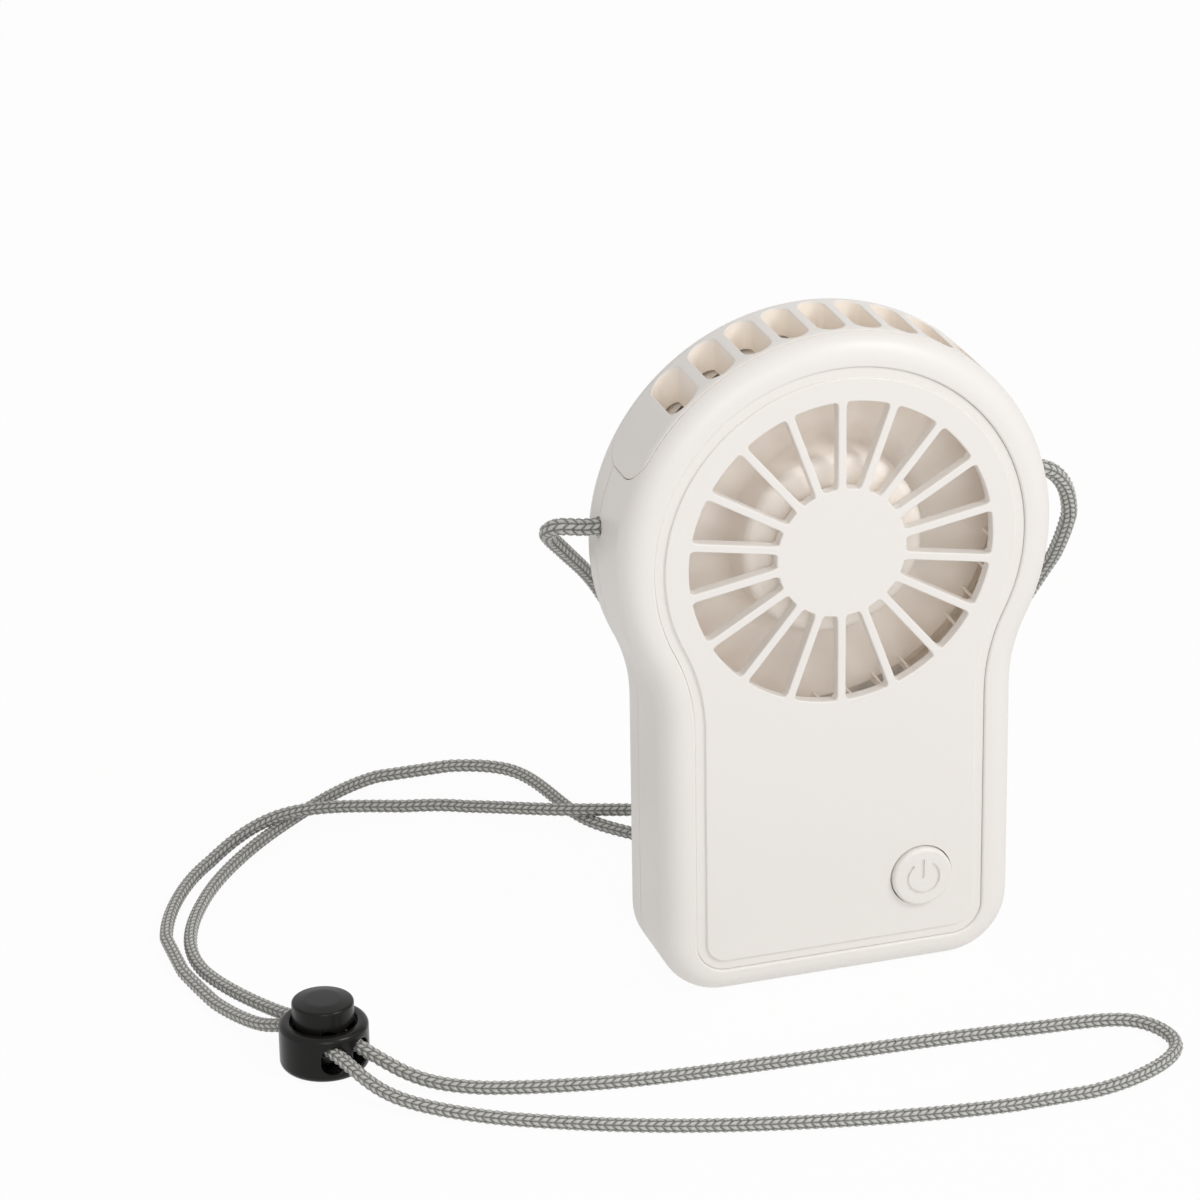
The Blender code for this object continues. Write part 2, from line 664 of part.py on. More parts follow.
def build_front_panel():
    """The flush plate: sunken border, flat plateau, grille, button hole and two heat stakes."""
    border = RIM_WIDTH + SEAM
    plateau = RIM_WIDTH + GROOVE_WIDTH
    plate = RIM_WIDTH + LEDGE_WIDTH + FIT
    loops = [ring(plateau + PANEL_SLOPE, 0.0, RIM_DROP)]
    loops.append(ring(plateau, PANEL_STEP, RIM_DROP))
    loops.append(ring(border, PANEL_STEP, RIM_DROP))
    loops.append(ring(border, PANEL_STEP + PANEL_FLANGE, RIM_DROP))
    loops.append(ring(plate, PANEL_STEP + PANEL_FLANGE, RIM_DROP))
    loops.append(ring(plate, PANEL_DEPTH, RIM_DROP))
    panel = make("front_panel", loft(loops), white())
    openings = bmesh.new()
    for i in range(SPOKES):
        opening = grille_opening(math.pi / 2 + 2 * math.pi * (i + 0.5) / SPOKES)
        openings.from_mesh(opening.data)
        bpy.data.objects.remove(opening)
    cut(panel, make("grille_openings", openings, white()))
    hole = BUTTON_RADIUS + FIT + FIT / 2
    profile = [(0, -OVERRUN), (hole, -OVERRUN), (hole, PANEL_DEPTH + OVERRUN), (0, PANEL_DEPTH + OVERRUN)]
    place = along_depth(BUTTON_X, -BUTTON_BELOW_AXLE)
    cut(panel, make("button_hole", revolve(profile, TURN_STEPS, place), white()))
    end = BOARD_BACK + STAKE_HEAD
    stake = [(0, PANEL_DEPTH - WELD), (STAKE_RADIUS, PANEL_DEPTH - WELD), (STAKE_RADIUS, end), (0, end)]
    for x, rise in stake_places():
        fuse(panel, make("stake", revolve(stake, SMALL_STEPS // 2, along_depth(x, rise)), white()))
    return panel


def board_corners():
    """The circuit board's left, right, low and high edges, set round the button."""
    left = BUTTON_X + BOARD_OFFSET - BOARD_WIDTH
    low = -BUTTON_BELOW_AXLE - BOARD_HEIGHT / 2
    return left, left + BOARD_WIDTH, low, low + BOARD_HEIGHT


def stake_places():
    left, right, low, high = board_corners()
    return [(left + STAKE_INSET, low + STAKE_INSET), (right - STAKE_INSET, high - STAKE_INSET)]


def door_outline(grow=0.0):
    """The door's outline, or the opening round it when it is grown by the clearance."""
    half = DOOR_HALF_WIDTH + grow
    low_corner = DOOR_BOTTOM_CORNER + grow
    high_corner = DOOR_TOP_CORNER + grow
    return rounded_rectangle(-half, half, DOOR_BOTTOM - grow, DOOR_TOP + grow, low_corner, high_corner)


def thumb_outline(grow=0.0):
    """The half-moon above the door: a rectangle that ends in a half circle."""
    half = THUMB_WIDTH / 2 + grow
    top = DOOR_TOP + THUMB_HEIGHT + grow
    points = arc(0, top - half, half, 0, math.pi, 3 * ROUND_STEPS)
    return points + [(-half, DOOR_TOP - OVERRUN), (half, DOOR_TOP - OVERRUN)]


def channel_block(width, near, far, start, end):
    """A bar along the wire channel's line, from one radius to another."""
    across = Vector((-math.sin(CHANNEL_ANGLE), math.cos(CHANNEL_ANGLE))) * width / 2
    along = Vector((math.cos(CHANNEL_ANGLE), math.sin(CHANNEL_ANGLE)))
    outline = [along * start - across, along * end - across, along * end + across, along * start + across]
    return outline, near, far


def build_channel():
    """The raised bar over the motor wires, with its long edges and its end drawn in."""
    start = CHANNEL_START
    low = BODY_DEPTH - WELD - FIT
    top = BODY_DEPTH + CHANNEL_RISE
    steps = [(0.0, low), (0.0, top - CHANNEL_ROUND)]
    steps += [(CHANNEL_ROUND * (1 - math.cos(turn)), top - CHANNEL_ROUND * (1 - math.sin(turn)))
              for turn in (math.pi / 6, math.pi / 3, math.pi / 2)]
    loops = []
    for drawn, depth in steps:
        outline, _, _ = channel_block(CHANNEL_WIDTH - 2 * drawn, low, top, start, CHANNEL_END - drawn)
        loops.append([at(point.x, depth, point.y) for point in outline])
    return make("channel", loft(loops), white())


def build_boss():
    """The motor boss on the rear face: flared foot, straight flank and flat top."""
    top = BODY_DEPTH + BOSS_HEIGHT
    low = REAR_INNER + WELD
    foot = BOSS_BASE_RADIUS + BOSS_BLEND
    profile = [(0, low), (foot, low), (foot, BODY_DEPTH - FIT)]
    profile += [(BOSS_BASE_RADIUS + BOSS_BLEND / 2, BODY_DEPTH + BOSS_BLEND / 6)]
    profile += [(BOSS_BASE_RADIUS, BODY_DEPTH + BOSS_BLEND / 3)]
    profile += [(BOSS_TOP_RADIUS + BOSS_BLEND, top - BOSS_BLEND)]
    profile += [(BOSS_TOP_RADIUS + BOSS_BLEND / 2, top - BOSS_BLEND / 2)]
    profile += [(BOSS_TOP_RADIUS, top - BOSS_BLEND / 6), (BOSS_TOP_RADIUS - BOSS_BLEND / 2, top), (0, top)]
    return make("boss", revolve(profile, TURN_STEPS, along_depth()), white())


def build_rear_shell():
    """The shallow half: tray with a locating lip, bay, scroll wall, motor socket and latch recess."""
    lip = WALL + FIT
    loops = [ring(REAR_FILLET, BODY_DEPTH)]
    loops += [ring(inset, BODY_DEPTH - step) for inset, step in reversed(quarter(REAR_FILLET)[:-1])]
    loops += [ring(0.0, PARTING_REAR), ring(lip, PARTING_REAR), ring(lip, PARTING - LIP_REACH)]
    loops += [ring(lip + LIP_WALL, PARTING - LIP_REACH), ring(lip + LIP_WALL, PARTING + LIP_WALL)]
    loops += [ring(WALL, PARTING + LIP_WALL + LIP_ROOT), ring(WALL, BODY_DEPTH - REAR_FILLET)]
    loops.append(ring(WALL + REAR_FILLET - WALL, REAR_INNER))
    shell = make("rear_shell", loft(loops), white())

    rim = FIT + BAY_RIM
    bay = make("bay", prism(door_outline(rim), BAY_FRONT, REAR_INNER + WELD), white())
    half = SCROLL_HALF_ANGLE
    down = 1.5 * math.pi
    scroll = make("scroll", sector(SCROLL_RADIUS, SCROLL_OUTER, down - half, down + half,
                                   LEDGE_BACK + 2 * FIT, REAR_INNER + WELD, SMALL_STEPS), white())
    socket_radius = MOTOR_RADIUS + FIT + SOCKET_WALL
    socket = [(0, DISC_BACK + SOCKET_TO_DISC), (socket_radius, DISC_BACK + SOCKET_TO_DISC)]
    socket += [(socket_radius, REAR_INNER + WELD), (0, REAR_INNER + WELD)]
    pocket_floor = BODY_DEPTH - PIT_DEPTH
    back = POCKET_WALL
    pocket = prism(thumb_outline(back), pocket_floor - back, REAR_INNER + WELD)
    pocket = make("latch_block", pocket, white())
    fuse(shell, bay, scroll, make("socket", revolve(socket, TURN_STEPS, along_depth()), white()))
    fuse(shell, pocket, build_boss(), build_channel())

    bore = MOTOR_RADIUS + FIT
    well = [(0, MOTOR_FRONT - OVERRUN), (bore, MOTOR_FRONT - OVERRUN), (bore, POCKET_END), (0, POCKET_END)]
    cut(shell, make("well", revolve(well, TURN_STEPS, along_depth(), 0.5), white()))
    inner_end = CHANNEL_END - CHANNEL_SKIN
    outline, near, far = channel_block(CHANNEL_BORE, REAR_INNER - OVERRUN,
                                       BODY_DEPTH + CHANNEL_RISE - CHANNEL_SKIN, MOTOR_RADIUS, inner_end)
    cut(shell, make("channel_bore", prism(outline, near, far), white()))
    half_bay = BAY_HALF_WIDTH
    cavity = rounded_rectangle(-half_bay, half_bay, BAY_BOTTOM, BAY_TOP, LEAST_CORNER, LEAST_CORNER,
                               ROUND_STEPS)
    cut(shell, make("cavity", prism(cavity, BAY_INNER, BODY_DEPTH + OVERRUN), white()))
    cut(shell, make("opening", prism(door_outline(FIT), DOOR_FRONT - FIT, BODY_DEPTH + OVERRUN), white()))
    cut(shell, make("thumb", prism(thumb_outline(), pocket_floor, BODY_DEPTH + OVERRUN), white()))
    pit = (-PIT_WIDTH / 2, DOOR_FRONT - FIT, DOOR_TOP - OVERRUN)
    pit_end = (PIT_WIDTH / 2, BODY_DEPTH + OVERRUN, DOOR_TOP + PIT_HEIGHT)
    cut(shell, make("pit", box(pit, pit_end), white()))
    for side in (-1, 1):
        middle = side * TAB_SPREAD
        reach = TAB_WIDTH / 2 + FIT
        swing = TAB_REACH + DOOR_DEPTH + FIT
        low = (middle - reach, EDGE_DEPTH - swing, EDGE_RISE - swing + DOOR_DEPTH / 2)
        high = (middle + reach, DOOR_FRONT, BAY_BOTTOM + FIT)
        cut(shell, make("tab_pocket", box(low, high), white()))
    for low, high in (tab_slot(-1, FIRST_CELL), tab_slot(1, FIRST_CELL - CELL_PITCH * (CELLS - 1))):
        cut(shell, make("tab_slot", box(low, high), white()))
    return cut(shell, band_notch(), cord_hole(-1), cord_hole(1))


def tab_slot(side, rise):
    """The hole in the bay's floor that a contact's solder tab passes through."""
    outer = BAY_HALF_WIDTH
    inner = outer - 2 * FIT - CONTACT_PLATE
    low = (min(side * outer, side * inner), BAY_FRONT - OVERRUN, rise - SOLDER_TAB / 2 - FIT)
    high = (max(side * outer, side * inner), BAY_INNER + FIT, rise + SOLDER_TAB / 2 + FIT)
    return low, high


def build_vent_band():
    """The separate strip over the head: a skin on a deep block, cut by the nine slots."""
    band = make("vent_band", band_skin(), white())
    half = VENT_PITCH * (VENTS - 1) / 2 + VENT_BLOCK_MARGIN
    middle = math.pi / 2
    near = BAND_FROM_FRONT + VENT_BLOCK_STEP
    far = BAND_REAR - VENT_BLOCK_STEP
    outer = HEAD_RADIUS - BAND_SKIN / 2
    block = sector(VENT_INNER, outer, middle - half, middle + half, near, far, 2 * VENTS + 1)
    fuse(band, make("block", block, white()))
    for i in range(VENTS):
        cut(band, vent_slot(middle + VENT_PITCH * (i - (VENTS - 1) / 2)))
    return band


def build_button():
    """The round cap, its hidden flange, and the power symbol sunk into its face."""
    top = -BUTTON_RISE
    edge = [(BUTTON_RADIUS - BUTTON_ROUND * (1 - math.sin(turn)), top + BUTTON_ROUND * (1 - math.cos(turn)))
            for turn in (0, math.pi / 6, math.pi / 3, math.pi / 2)]
    wide = BUTTON_RADIUS + BUTTON_FLANGE_WIDTH
    profile = [(0, top)] + edge + [(BUTTON_RADIUS, FLANGE_FRONT), (wide, FLANGE_FRONT)]
    profile += [(wide, FLANGE_BACK), (0, FLANGE_BACK)]
    place = along_depth(BUTTON_X, -BUTTON_BELOW_AXLE)
    where = at(BUTTON_X, 0, -BUTTON_BELOW_AXLE)
    button = make("power_button", revolve(profile, TURN_STEPS, place), white(), where)
    inner = SYMBOL_RADIUS - SYMBOL_WIDTH / 2
    outer = SYMBOL_RADIUS + SYMBOL_WIDTH / 2
    gap = math.radians(36)
    loops = []
    for i in range(SMALL_STEPS + 1):
        angle = math.pi / 2 + gap + (2 * math.pi - 2 * gap) * i / SMALL_STEPS
        loop = []
        for radius, depth in ((inner, top - OVERRUN), (outer, top - OVERRUN),
                              (outer, top + SYMBOL_DEPTH), (inner, top + SYMBOL_DEPTH)):
            loop.append(place(radius * math.cos(angle), radius * math.sin(angle), depth))
        loops.append(loop)
    cut(button, make("symbol_ring", loft(loops), white()))
    half = SYMBOL_WIDTH / 2
    tip = -BUTTON_BELOW_AXLE + SYMBOL_RADIUS + SYMBOL_WIDTH
    low = (BUTTON_X - half, top - OVERRUN, tip - SYMBOL_BAR)
    high = (BUTTON_X + half, top + SYMBOL_DEPTH, tip)
    return cut(button, make("symbol_bar", box(low, high), white()))


def build_switch_and_board():
    """The push switch with its stem, the board behind it, and the driver chip."""
    place = along_depth(BUTTON_X, -BUTTON_BELOW_AXLE)
    stem_end = STEM_FRONT + STEM_LENGTH
    stem = [(0, STEM_FRONT), (STEM_RADIUS, STEM_FRONT), (STEM_RADIUS, stem_end), (0, stem_end)]
    where = at(BUTTON_X, 0, -BUTTON_BELOW_AXLE)
    make("switch_stem", revolve(stem, SMALL_STEPS, place), black(), where)
    half = SWITCH_SIDE / 2
    low = (BUTTON_X - half, SWITCH_FRONT, -BUTTON_BELOW_AXLE - half)
    high = (BUTTON_X + half, SWITCH_BACK, -BUTTON_BELOW_AXLE + half)
    switch = make("switch_body", box(low, high), black())
    bottom = stem_end + BUTTON_TRAVEL + FIT
    bore = [(0, SWITCH_FRONT - OVERRUN), (STEM_RADIUS + FIT, SWITCH_FRONT - OVERRUN)]
    bore += [(STEM_RADIUS + FIT, min(bottom, SWITCH_BACK - FIT)), (0, min(bottom, SWITCH_BACK - FIT))]
    cut(switch, make("stem_bore", revolve(bore, SMALL_STEPS, place), black()))
    left, right, low, high = board_corners()
    outline = rounded_rectangle(left, right, low, high, LEAST_CORNER, LEAST_CORNER, ROUND_STEPS)
    green = material("board_green", (0.02, 0.16, 0.07), 0.45)
    board = make("circuit_board", prism(outline, BOARD_FRONT, BOARD_BACK), green)
    reach = STAKE_RADIUS + FIT
    hole = [(0, BOARD_FRONT - OVERRUN), (reach, BOARD_FRONT - OVERRUN)]
    hole += [(reach, BOARD_BACK + OVERRUN), (0, BOARD_BACK + OVERRUN)]
    for x, rise in stake_places():
        cut(board, make("stake_hole", revolve(hole, SMALL_STEPS, along_depth(x, rise)), green))
    middle = (left + BUTTON_X) / 2
    half = CHIP_SIDE / 2
    near = (middle - half, BOARD_FRONT - FIT - CHIP_HEIGHT, -BUTTON_BELOW_AXLE - half)
    far = (middle + half, BOARD_FRONT - FIT, -BUTTON_BELOW_AXLE + half)
    make("driver_chip", box(near, far), black())


def build_impeller():
    """Hub drum, base disc, curved blades and the thin ring that ties their front ends."""
    front = DRUM_FRONT
    rounding = [(DRUM_RADIUS - DRUM_ROUND * (1 - math.sin(turn)), front + DRUM_ROUND * (1 - math.cos(turn)))
                for turn in (0, math.pi / 6, math.pi / 3, math.pi / 2)]
    bore = SHAFT_RADIUS + FIT
    profile = [(0, front)] + rounding + [(DRUM_RADIUS, DISC_FRONT), (IMPELLER_RADIUS, DISC_FRONT)]
    profile += [(IMPELLER_RADIUS, DISC_BACK), (DRUM_RADIUS - DRUM_WALL, DISC_BACK)]
    profile += [(DRUM_RADIUS - DRUM_WALL, front + DRUM_WALL), (HUB_RADIUS, front + DRUM_WALL)]
    profile += [(HUB_RADIUS, MOTOR_FRONT - HUB_TO_MOTOR), (bore, MOTOR_FRONT - HUB_TO_MOTOR)]
    profile += [(bore, front + DRUM_WALL), (0, front + DRUM_WALL)]
    wheel = make("impeller", revolve(profile, WHEEL_STEPS, along_depth()), white(), at(0, 0, 0))
    blades = bmesh.new()
    near = front + BLADE_SET_BACK
    inner = IMPELLER_RADIUS - BLADE_LENGTH
    for k in range(BLADES):
        turn = 2 * math.pi * k / BLADES
        spine = []
        for i in range(BLADE_STEPS + 1):
            share = i / BLADE_STEPS
            radius = inner + (IMPELLER_RADIUS - FIT - inner) * share
            spine.append((radius, turn + BLADE_SWEEP * share * share))
        half = BLADE_THICKNESS / 2
        outline = [(radius, angle - half / radius) for radius, angle in spine]
        outline += [(radius, angle + half / radius) for radius, angle in reversed(spine)]
        rows = []
        for depth in (near + SHROUD_DEPTH / 2, DISC_FRONT + DISC_DEPTH / 2):
            rows.append([blades.verts.new(polar(radius, angle, depth)) for radius, angle in outline])
        count = len(outline)
        for i in range(count):
            j = (i + 1) % count
            blades.faces.new((rows[0][i], rows[0][j], rows[1][j], rows[1][i]))
        blades.faces.new(rows[0])
        blades.faces.new(rows[1])
    within = IMPELLER_RADIUS - SHROUD_WIDTH
    shroud = [(within, near), (IMPELLER_RADIUS, near)]
    shroud += [(IMPELLER_RADIUS, near + SHROUD_DEPTH), (within, near + SHROUD_DEPTH)]
    fuse(wheel, make("blades", blades, white()))
    fuse(wheel, make("shroud", revolve(shroud, WHEEL_STEPS, along_depth()), white()))
    return wheel


def build_motor():
    """The can with its front bearing, the plastic end cap and the shaft that turns with the hub."""
    place = along_depth()
    bore = SHAFT_RADIUS + FIT
    cap_front = MOTOR_BACK - MOTOR_CAP
    bore_end = MOTOR_FRONT + SHAFT_IN_MOTOR + FIT
    can = [(0, bore_end), (bore, bore_end), (bore, MOTOR_FRONT - BEARING_HEIGHT)]
    can += [(BEARING_RADIUS, MOTOR_FRONT - BEARING_HEIGHT), (BEARING_RADIUS, MOTOR_FRONT)]
    can += [(MOTOR_RADIUS - MOTOR_ROUND, MOTOR_FRONT), (MOTOR_RADIUS, MOTOR_FRONT + MOTOR_ROUND)]
    can += [(MOTOR_RADIUS, cap_front - FIT), (0, cap_front - FIT)]
    make("motor_can", revolve(can, TURN_STEPS, place), steel())
    cap = [(0, cap_front), (MOTOR_RADIUS, cap_front), (MOTOR_RADIUS, MOTOR_BACK - MOTOR_ROUND / 2)]
    cap += [(MOTOR_RADIUS - MOTOR_ROUND / 2, MOTOR_BACK), (0, MOTOR_BACK)]
    cream = material("cream_plastic", (0.62, 0.58, 0.45), 0.5)
    make("motor_end_cap", revolve(cap, TURN_STEPS, place), cream)
    start = DRUM_FRONT + DRUM_WALL + FIT
    end = MOTOR_FRONT + SHAFT_IN_MOTOR
    shaft = [(0, start), (SHAFT_RADIUS, start), (SHAFT_RADIUS, end), (0, end)]
    make("motor_shaft", revolve(shaft, SMALL_STEPS, place), steel(), at(0, 0, 0))


def build_door():
    """The battery door: plate with a rounded lower edge, two hinge tabs and the latch tongue."""
    where = at(0, HINGE_DEPTH, HINGE_RISE)
    door = make("battery_door", prism(door_outline(), DOOR_FRONT, BODY_DEPTH), white(), where)
    half = DOOR_HALF_WIDTH + OVERRUN
    radius = DOOR_DEPTH / 2
    steps = CORNER_STEPS
    curve = arc(EDGE_DEPTH, EDGE_RISE, radius, 0, -math.pi, steps)
    trim = curve + [(DOOR_FRONT - OVERRUN, EDGE_RISE), (DOOR_FRONT - OVERRUN, DOOR_BOTTOM - OVERRUN)]
    trim += [(BODY_DEPTH + OVERRUN, DOOR_BOTTOM - OVERRUN), (BODY_DEPTH + OVERRUN, EDGE_RISE)]
    near = [at(-half, depth, rise) for depth, rise in trim]
    far = [at(half, depth, rise) for depth, rise in trim]
    cut(door, make("edge_trim", loft([near, far]), white()))
    for side in (-1, 1):
        middle = side * TAB_SPREAD
        low_rise = EDGE_RISE - TAB_REACH
        back = DOOR_FRONT - FIT
        shape = [(DOOR_FRONT + WELD, EDGE_RISE + DOOR_DEPTH), (DOOR_FRONT + WELD, EDGE_RISE)]
        shape += [(back, EDGE_RISE - DOOR_DEPTH / 2), (back, low_rise), (back - TAB_DEPTH, low_rise)]
        shape += [(back - TAB_DEPTH, EDGE_RISE + DOOR_DEPTH)]
        near = [at(middle - TAB_WIDTH / 2, depth, rise) for depth, rise in shape]
        far = [at(middle + TAB_WIDTH / 2, depth, rise) for depth, rise in shape]
        fuse(door, make("tab", loft([near, far]), white()))
    top = DOOR_TOP + PIT_HEIGHT + LATCH_BAR
    floor = DOOR_FRONT
    bar = BODY_DEPTH - LATCH_BAR_BACKSET
    low_bar = top - LATCH_BAR
    shape = [(floor, DOOR_TOP - WELD), (floor, top - FIT), (floor + FIT, top), (bar - FIT, top)]
    shape += [(bar, top - FIT), (bar, low_bar), (floor + LATCH_DEPTH, low_bar - FIT)]
    shape += [(floor + LATCH_DEPTH, DOOR_TOP - WELD)]
    near = [at(-LATCH_WIDTH / 2, depth, rise) for depth, rise in shape]
    far = [at(LATCH_WIDTH / 2, depth, rise) for depth, rise in shape]
    return fuse(door, make("tongue", loft([near, far]), white()))


def build_cells():
    """Three cells lying across the bay, each turned end for end from the last."""
    half = CELL_LENGTH / 2
    shoulder = half - CELL_NUB_HEIGHT
    edge = FIT
    profile = [(0, -half), (CELL_RADIUS - edge, -half), (CELL_RADIUS, edge - half)]
    profile += [(CELL_RADIUS, shoulder - edge), (CELL_RADIUS - edge, shoulder), (CELL_NUB_RADIUS, shoulder)]
    profile += [(CELL_NUB_RADIUS, half), (0, half)]
    jacket = material("cell_jacket", (0.05, 0.10, 0.28), 0.35, 0.4)
    for i in range(CELLS):
        side = -1 if i % 2 == 0 else 1
        place = along_x(CELL_AXIS_DEPTH, FIRST_CELL - CELL_PITCH * i)
        turned = revolve(profile, SMALL_STEPS, lambda a, b, x: place(a, b, side * x))
        make("battery_cell_%d" % (i + 1), turned, jacket)


def contact_plate(name, side, low, high):
    """A thin plate against the bay's end wall, drawn between two rises."""
    outer = BAY_HALF_WIDTH - FIT
    inner = outer - CONTACT_PLATE
    near = CELL_AXIS_DEPTH - CONTACT_SIDE / 2
    far = CELL_AXIS_DEPTH + CONTACT_SIDE / 2
    corner = (min(side * outer, side * inner), near, low)
    other = (max(side * outer, side * inner), far, high)
    return make(name, box(corner, other), steel())


def contact_dimple(side, rise):
    """The raised dimple that meets a cell's nub."""
    root = BAY_HALF_WIDTH - FIT - CONTACT_PLATE / 2
    tip = CELL_LENGTH / 2 + FIT
    profile = [(0, root), (DIMPLE_BASE, root), (DIMPLE_TIP, tip), (0, tip)]
    place = along_x(CELL_AXIS_DEPTH, rise)
    turned = revolve(profile, SMALL_STEPS, lambda a, b, x: place(a, b, side * x))
    return make("dimple", turned, steel())


def tube(points, radius, sides):
    """A closed tube along points, with rings square to the path."""
    loops = []
    across = None
    for i, point in enumerate(points):
        ahead = points[min(i + 1, len(points) - 1)] - points[max(i - 1, 0)]
        ahead.normalize()
        if across is None:
            start = Vector((0, 0, 1)) if abs(ahead.z) < 0.9 else Vector((0, 1, 0))
            across = ahead.cross(start).normalized()
        across = (across - ahead * across.dot(ahead)).normalized()
        up = ahead.cross(across)
        loop = []
        for k in range(sides):
            turn = 2 * math.pi * k / sides
            loop.append(point + (across * math.cos(turn) + up * math.sin(turn)) * radius)
        loops.append(loop)
    return loft(loops)


def contact_coil(side, rise):
    """The cone of wire that presses on a cell's flat end."""
    root = BAY_HALF_WIDTH - FIT - CONTACT_PLATE / 2
    tip = CELL_LENGTH / 2 + FIT + CONTACT_WIRE
    steps = CONTACT_TURNS * COIL_STEPS
    points = []
    for i in range(steps + 1):
        share = i / steps
        radius = CONTACT_COIL_WIDE + (CONTACT_COIL_NARROW - CONTACT_COIL_WIDE) * share
        turn = 2 * math.pi * CONTACT_TURNS * share
        x = root + (tip - root) * share
        depth = CELL_AXIS_DEPTH + radius * math.cos(turn)
        points.append(at(side * x, depth, rise + radius * math.sin(turn)))
    return make("coil", tube(points, CONTACT_WIRE, COIL_SIDES), steel())


def contact_tab(side, rise):
    """The tab that carries a contact through the bay's floor to its wire."""
    outer = BAY_HALF_WIDTH - FIT
    inner = outer - CONTACT_PLATE
    low = (min(side * outer, side * inner), BAY_FRONT - SOLDER_TAB_PROUD, rise - SOLDER_TAB / 2)
    high = (max(side * outer, side * inner), CELL_AXIS_DEPTH, rise + SOLDER_TAB / 2)
    return make("solder_tab", box(low, high), steel())


def build_contacts():
    """Positive plate, two bridges and the negative plate, which put the cells in a row."""
    half = CONTACT_SIDE / 2
    rises = [FIRST_CELL - CELL_PITCH * i for i in range(CELLS)]
    last = CELLS - 1
    positive = contact_plate("contact_positive", -1, rises[0] - half, rises[0] + half)
    fuse(positive, contact_dimple(-1, rises[0]), contact_tab(-1, rises[0]))
    right = contact_plate("contact_bridge_right", 1, rises[1] - half, rises[0] + half)
    fuse(right, contact_coil(1, rises[0]), contact_dimple(1, rises[1]))
    left = contact_plate("contact_bridge_left", -1, rises[2] - half, rises[1] + half)
    fuse(left, contact_coil(-1, rises[1]), contact_dimple(-1, rises[2]))
    negative = contact_plate("contact_negative", 1, rises[last] - half, rises[last] + half)
    fuse(negative, contact_coil(1, rises[last]), contact_tab(1, rises[last]))


def through(route):
    """A fine curve that passes through every point of a route without overshooting."""
    fine = []
    padded = [route[0] * 2 - route[1]] + route + [route[-1] * 2 - route[-2]]
    for i in range(1, len(padded) - 2):
        p0, p1, p2, p3 = padded[i - 1:i + 3]
        t1 = math.sqrt((p1 - p0).length)
        t2 = t1 + math.sqrt((p2 - p1).length)
        t3 = t2 + math.sqrt((p3 - p2).length)
        for k in range(CURVE_STEPS):
            t = t1 + (t2 - t1) * k / CURVE_STEPS
            a1 = p0.lerp(p1, t / t1)
            a2 = p1.lerp(p2, (t - t1) / (t2 - t1))
            a3 = p2.lerp(p3, (t - t2) / (t3 - t2))
            b1 = a1.lerp(a2, t / t2)
            b2 = a2.lerp(a3, (t - t1) / (t3 - t1))
            fine.append(b1.lerp(b2, (t - t1) / (t2 - t1)))
    fine.append(route[-1])
    return fine


def spread(points, count, bend_length):
    """Points along a polyline, evenly spaced or, with a bend length, closer where it bends."""
    reached = [0.0]
    for i in range(1, len(points)):
        step = points[i] - points[i - 1]
        bend = step.angle(points[i + 1] - points[i]) if i < len(points) - 1 else 0.0
        reached.append(reached[-1] + step.length + bend * bend_length)
    chosen = []
    j = 0
    for i in range(count):
        target = reached[-1] * i / (count - 1)
        while j < len(points) - 2 and reached[j + 1] < target:
            j += 1
        part = (target - reached[j]) / (reached[j + 1] - reached[j])
        chosen.append(points[j].lerp(points[j + 1], part))
    return chosen


def smooth_path(route, count):
    """The points of a limp tube along a route, and its length."""
    fine = through(route)
    length = sum((there - here).length for here, there in zip(fine, fine[1:]))
    even = spread(fine, max(int(length / RELAX_STEP), count), 0.0)
    for _ in range(RELAX_PASSES):
        inner = [(even[i - 1] + even[i] * 2 + even[i + 1]) / 4 for i in range(1, len(even) - 1)]
        even = [even[0]] + inner + [even[-1]]
    length = sum((there - here).length for here, there in zip(even, even[1:]))
    return spread(even, count, BEND_LENGTH), length


def poly_tube(name, points, radius, resolution, finish):
    """A curve object with a round bevel and filled caps."""
    curve = bpy.data.curves.new(name, "CURVE")
    curve.dimensions = "3D"
    curve.bevel_depth = radius
    curve.bevel_resolution = resolution
    curve.use_fill_caps = True
    spline = curve.splines.new("POLY")
    spline.points.add(len(points) - 1)
    for slot, point in zip(spline.points, points):
        slot.co = (*point, 1.0)
    body = bpy.data.objects.new(name, curve)
    body.data.materials.append(finish)
    bpy.context.collection.objects.link(body)
    return body


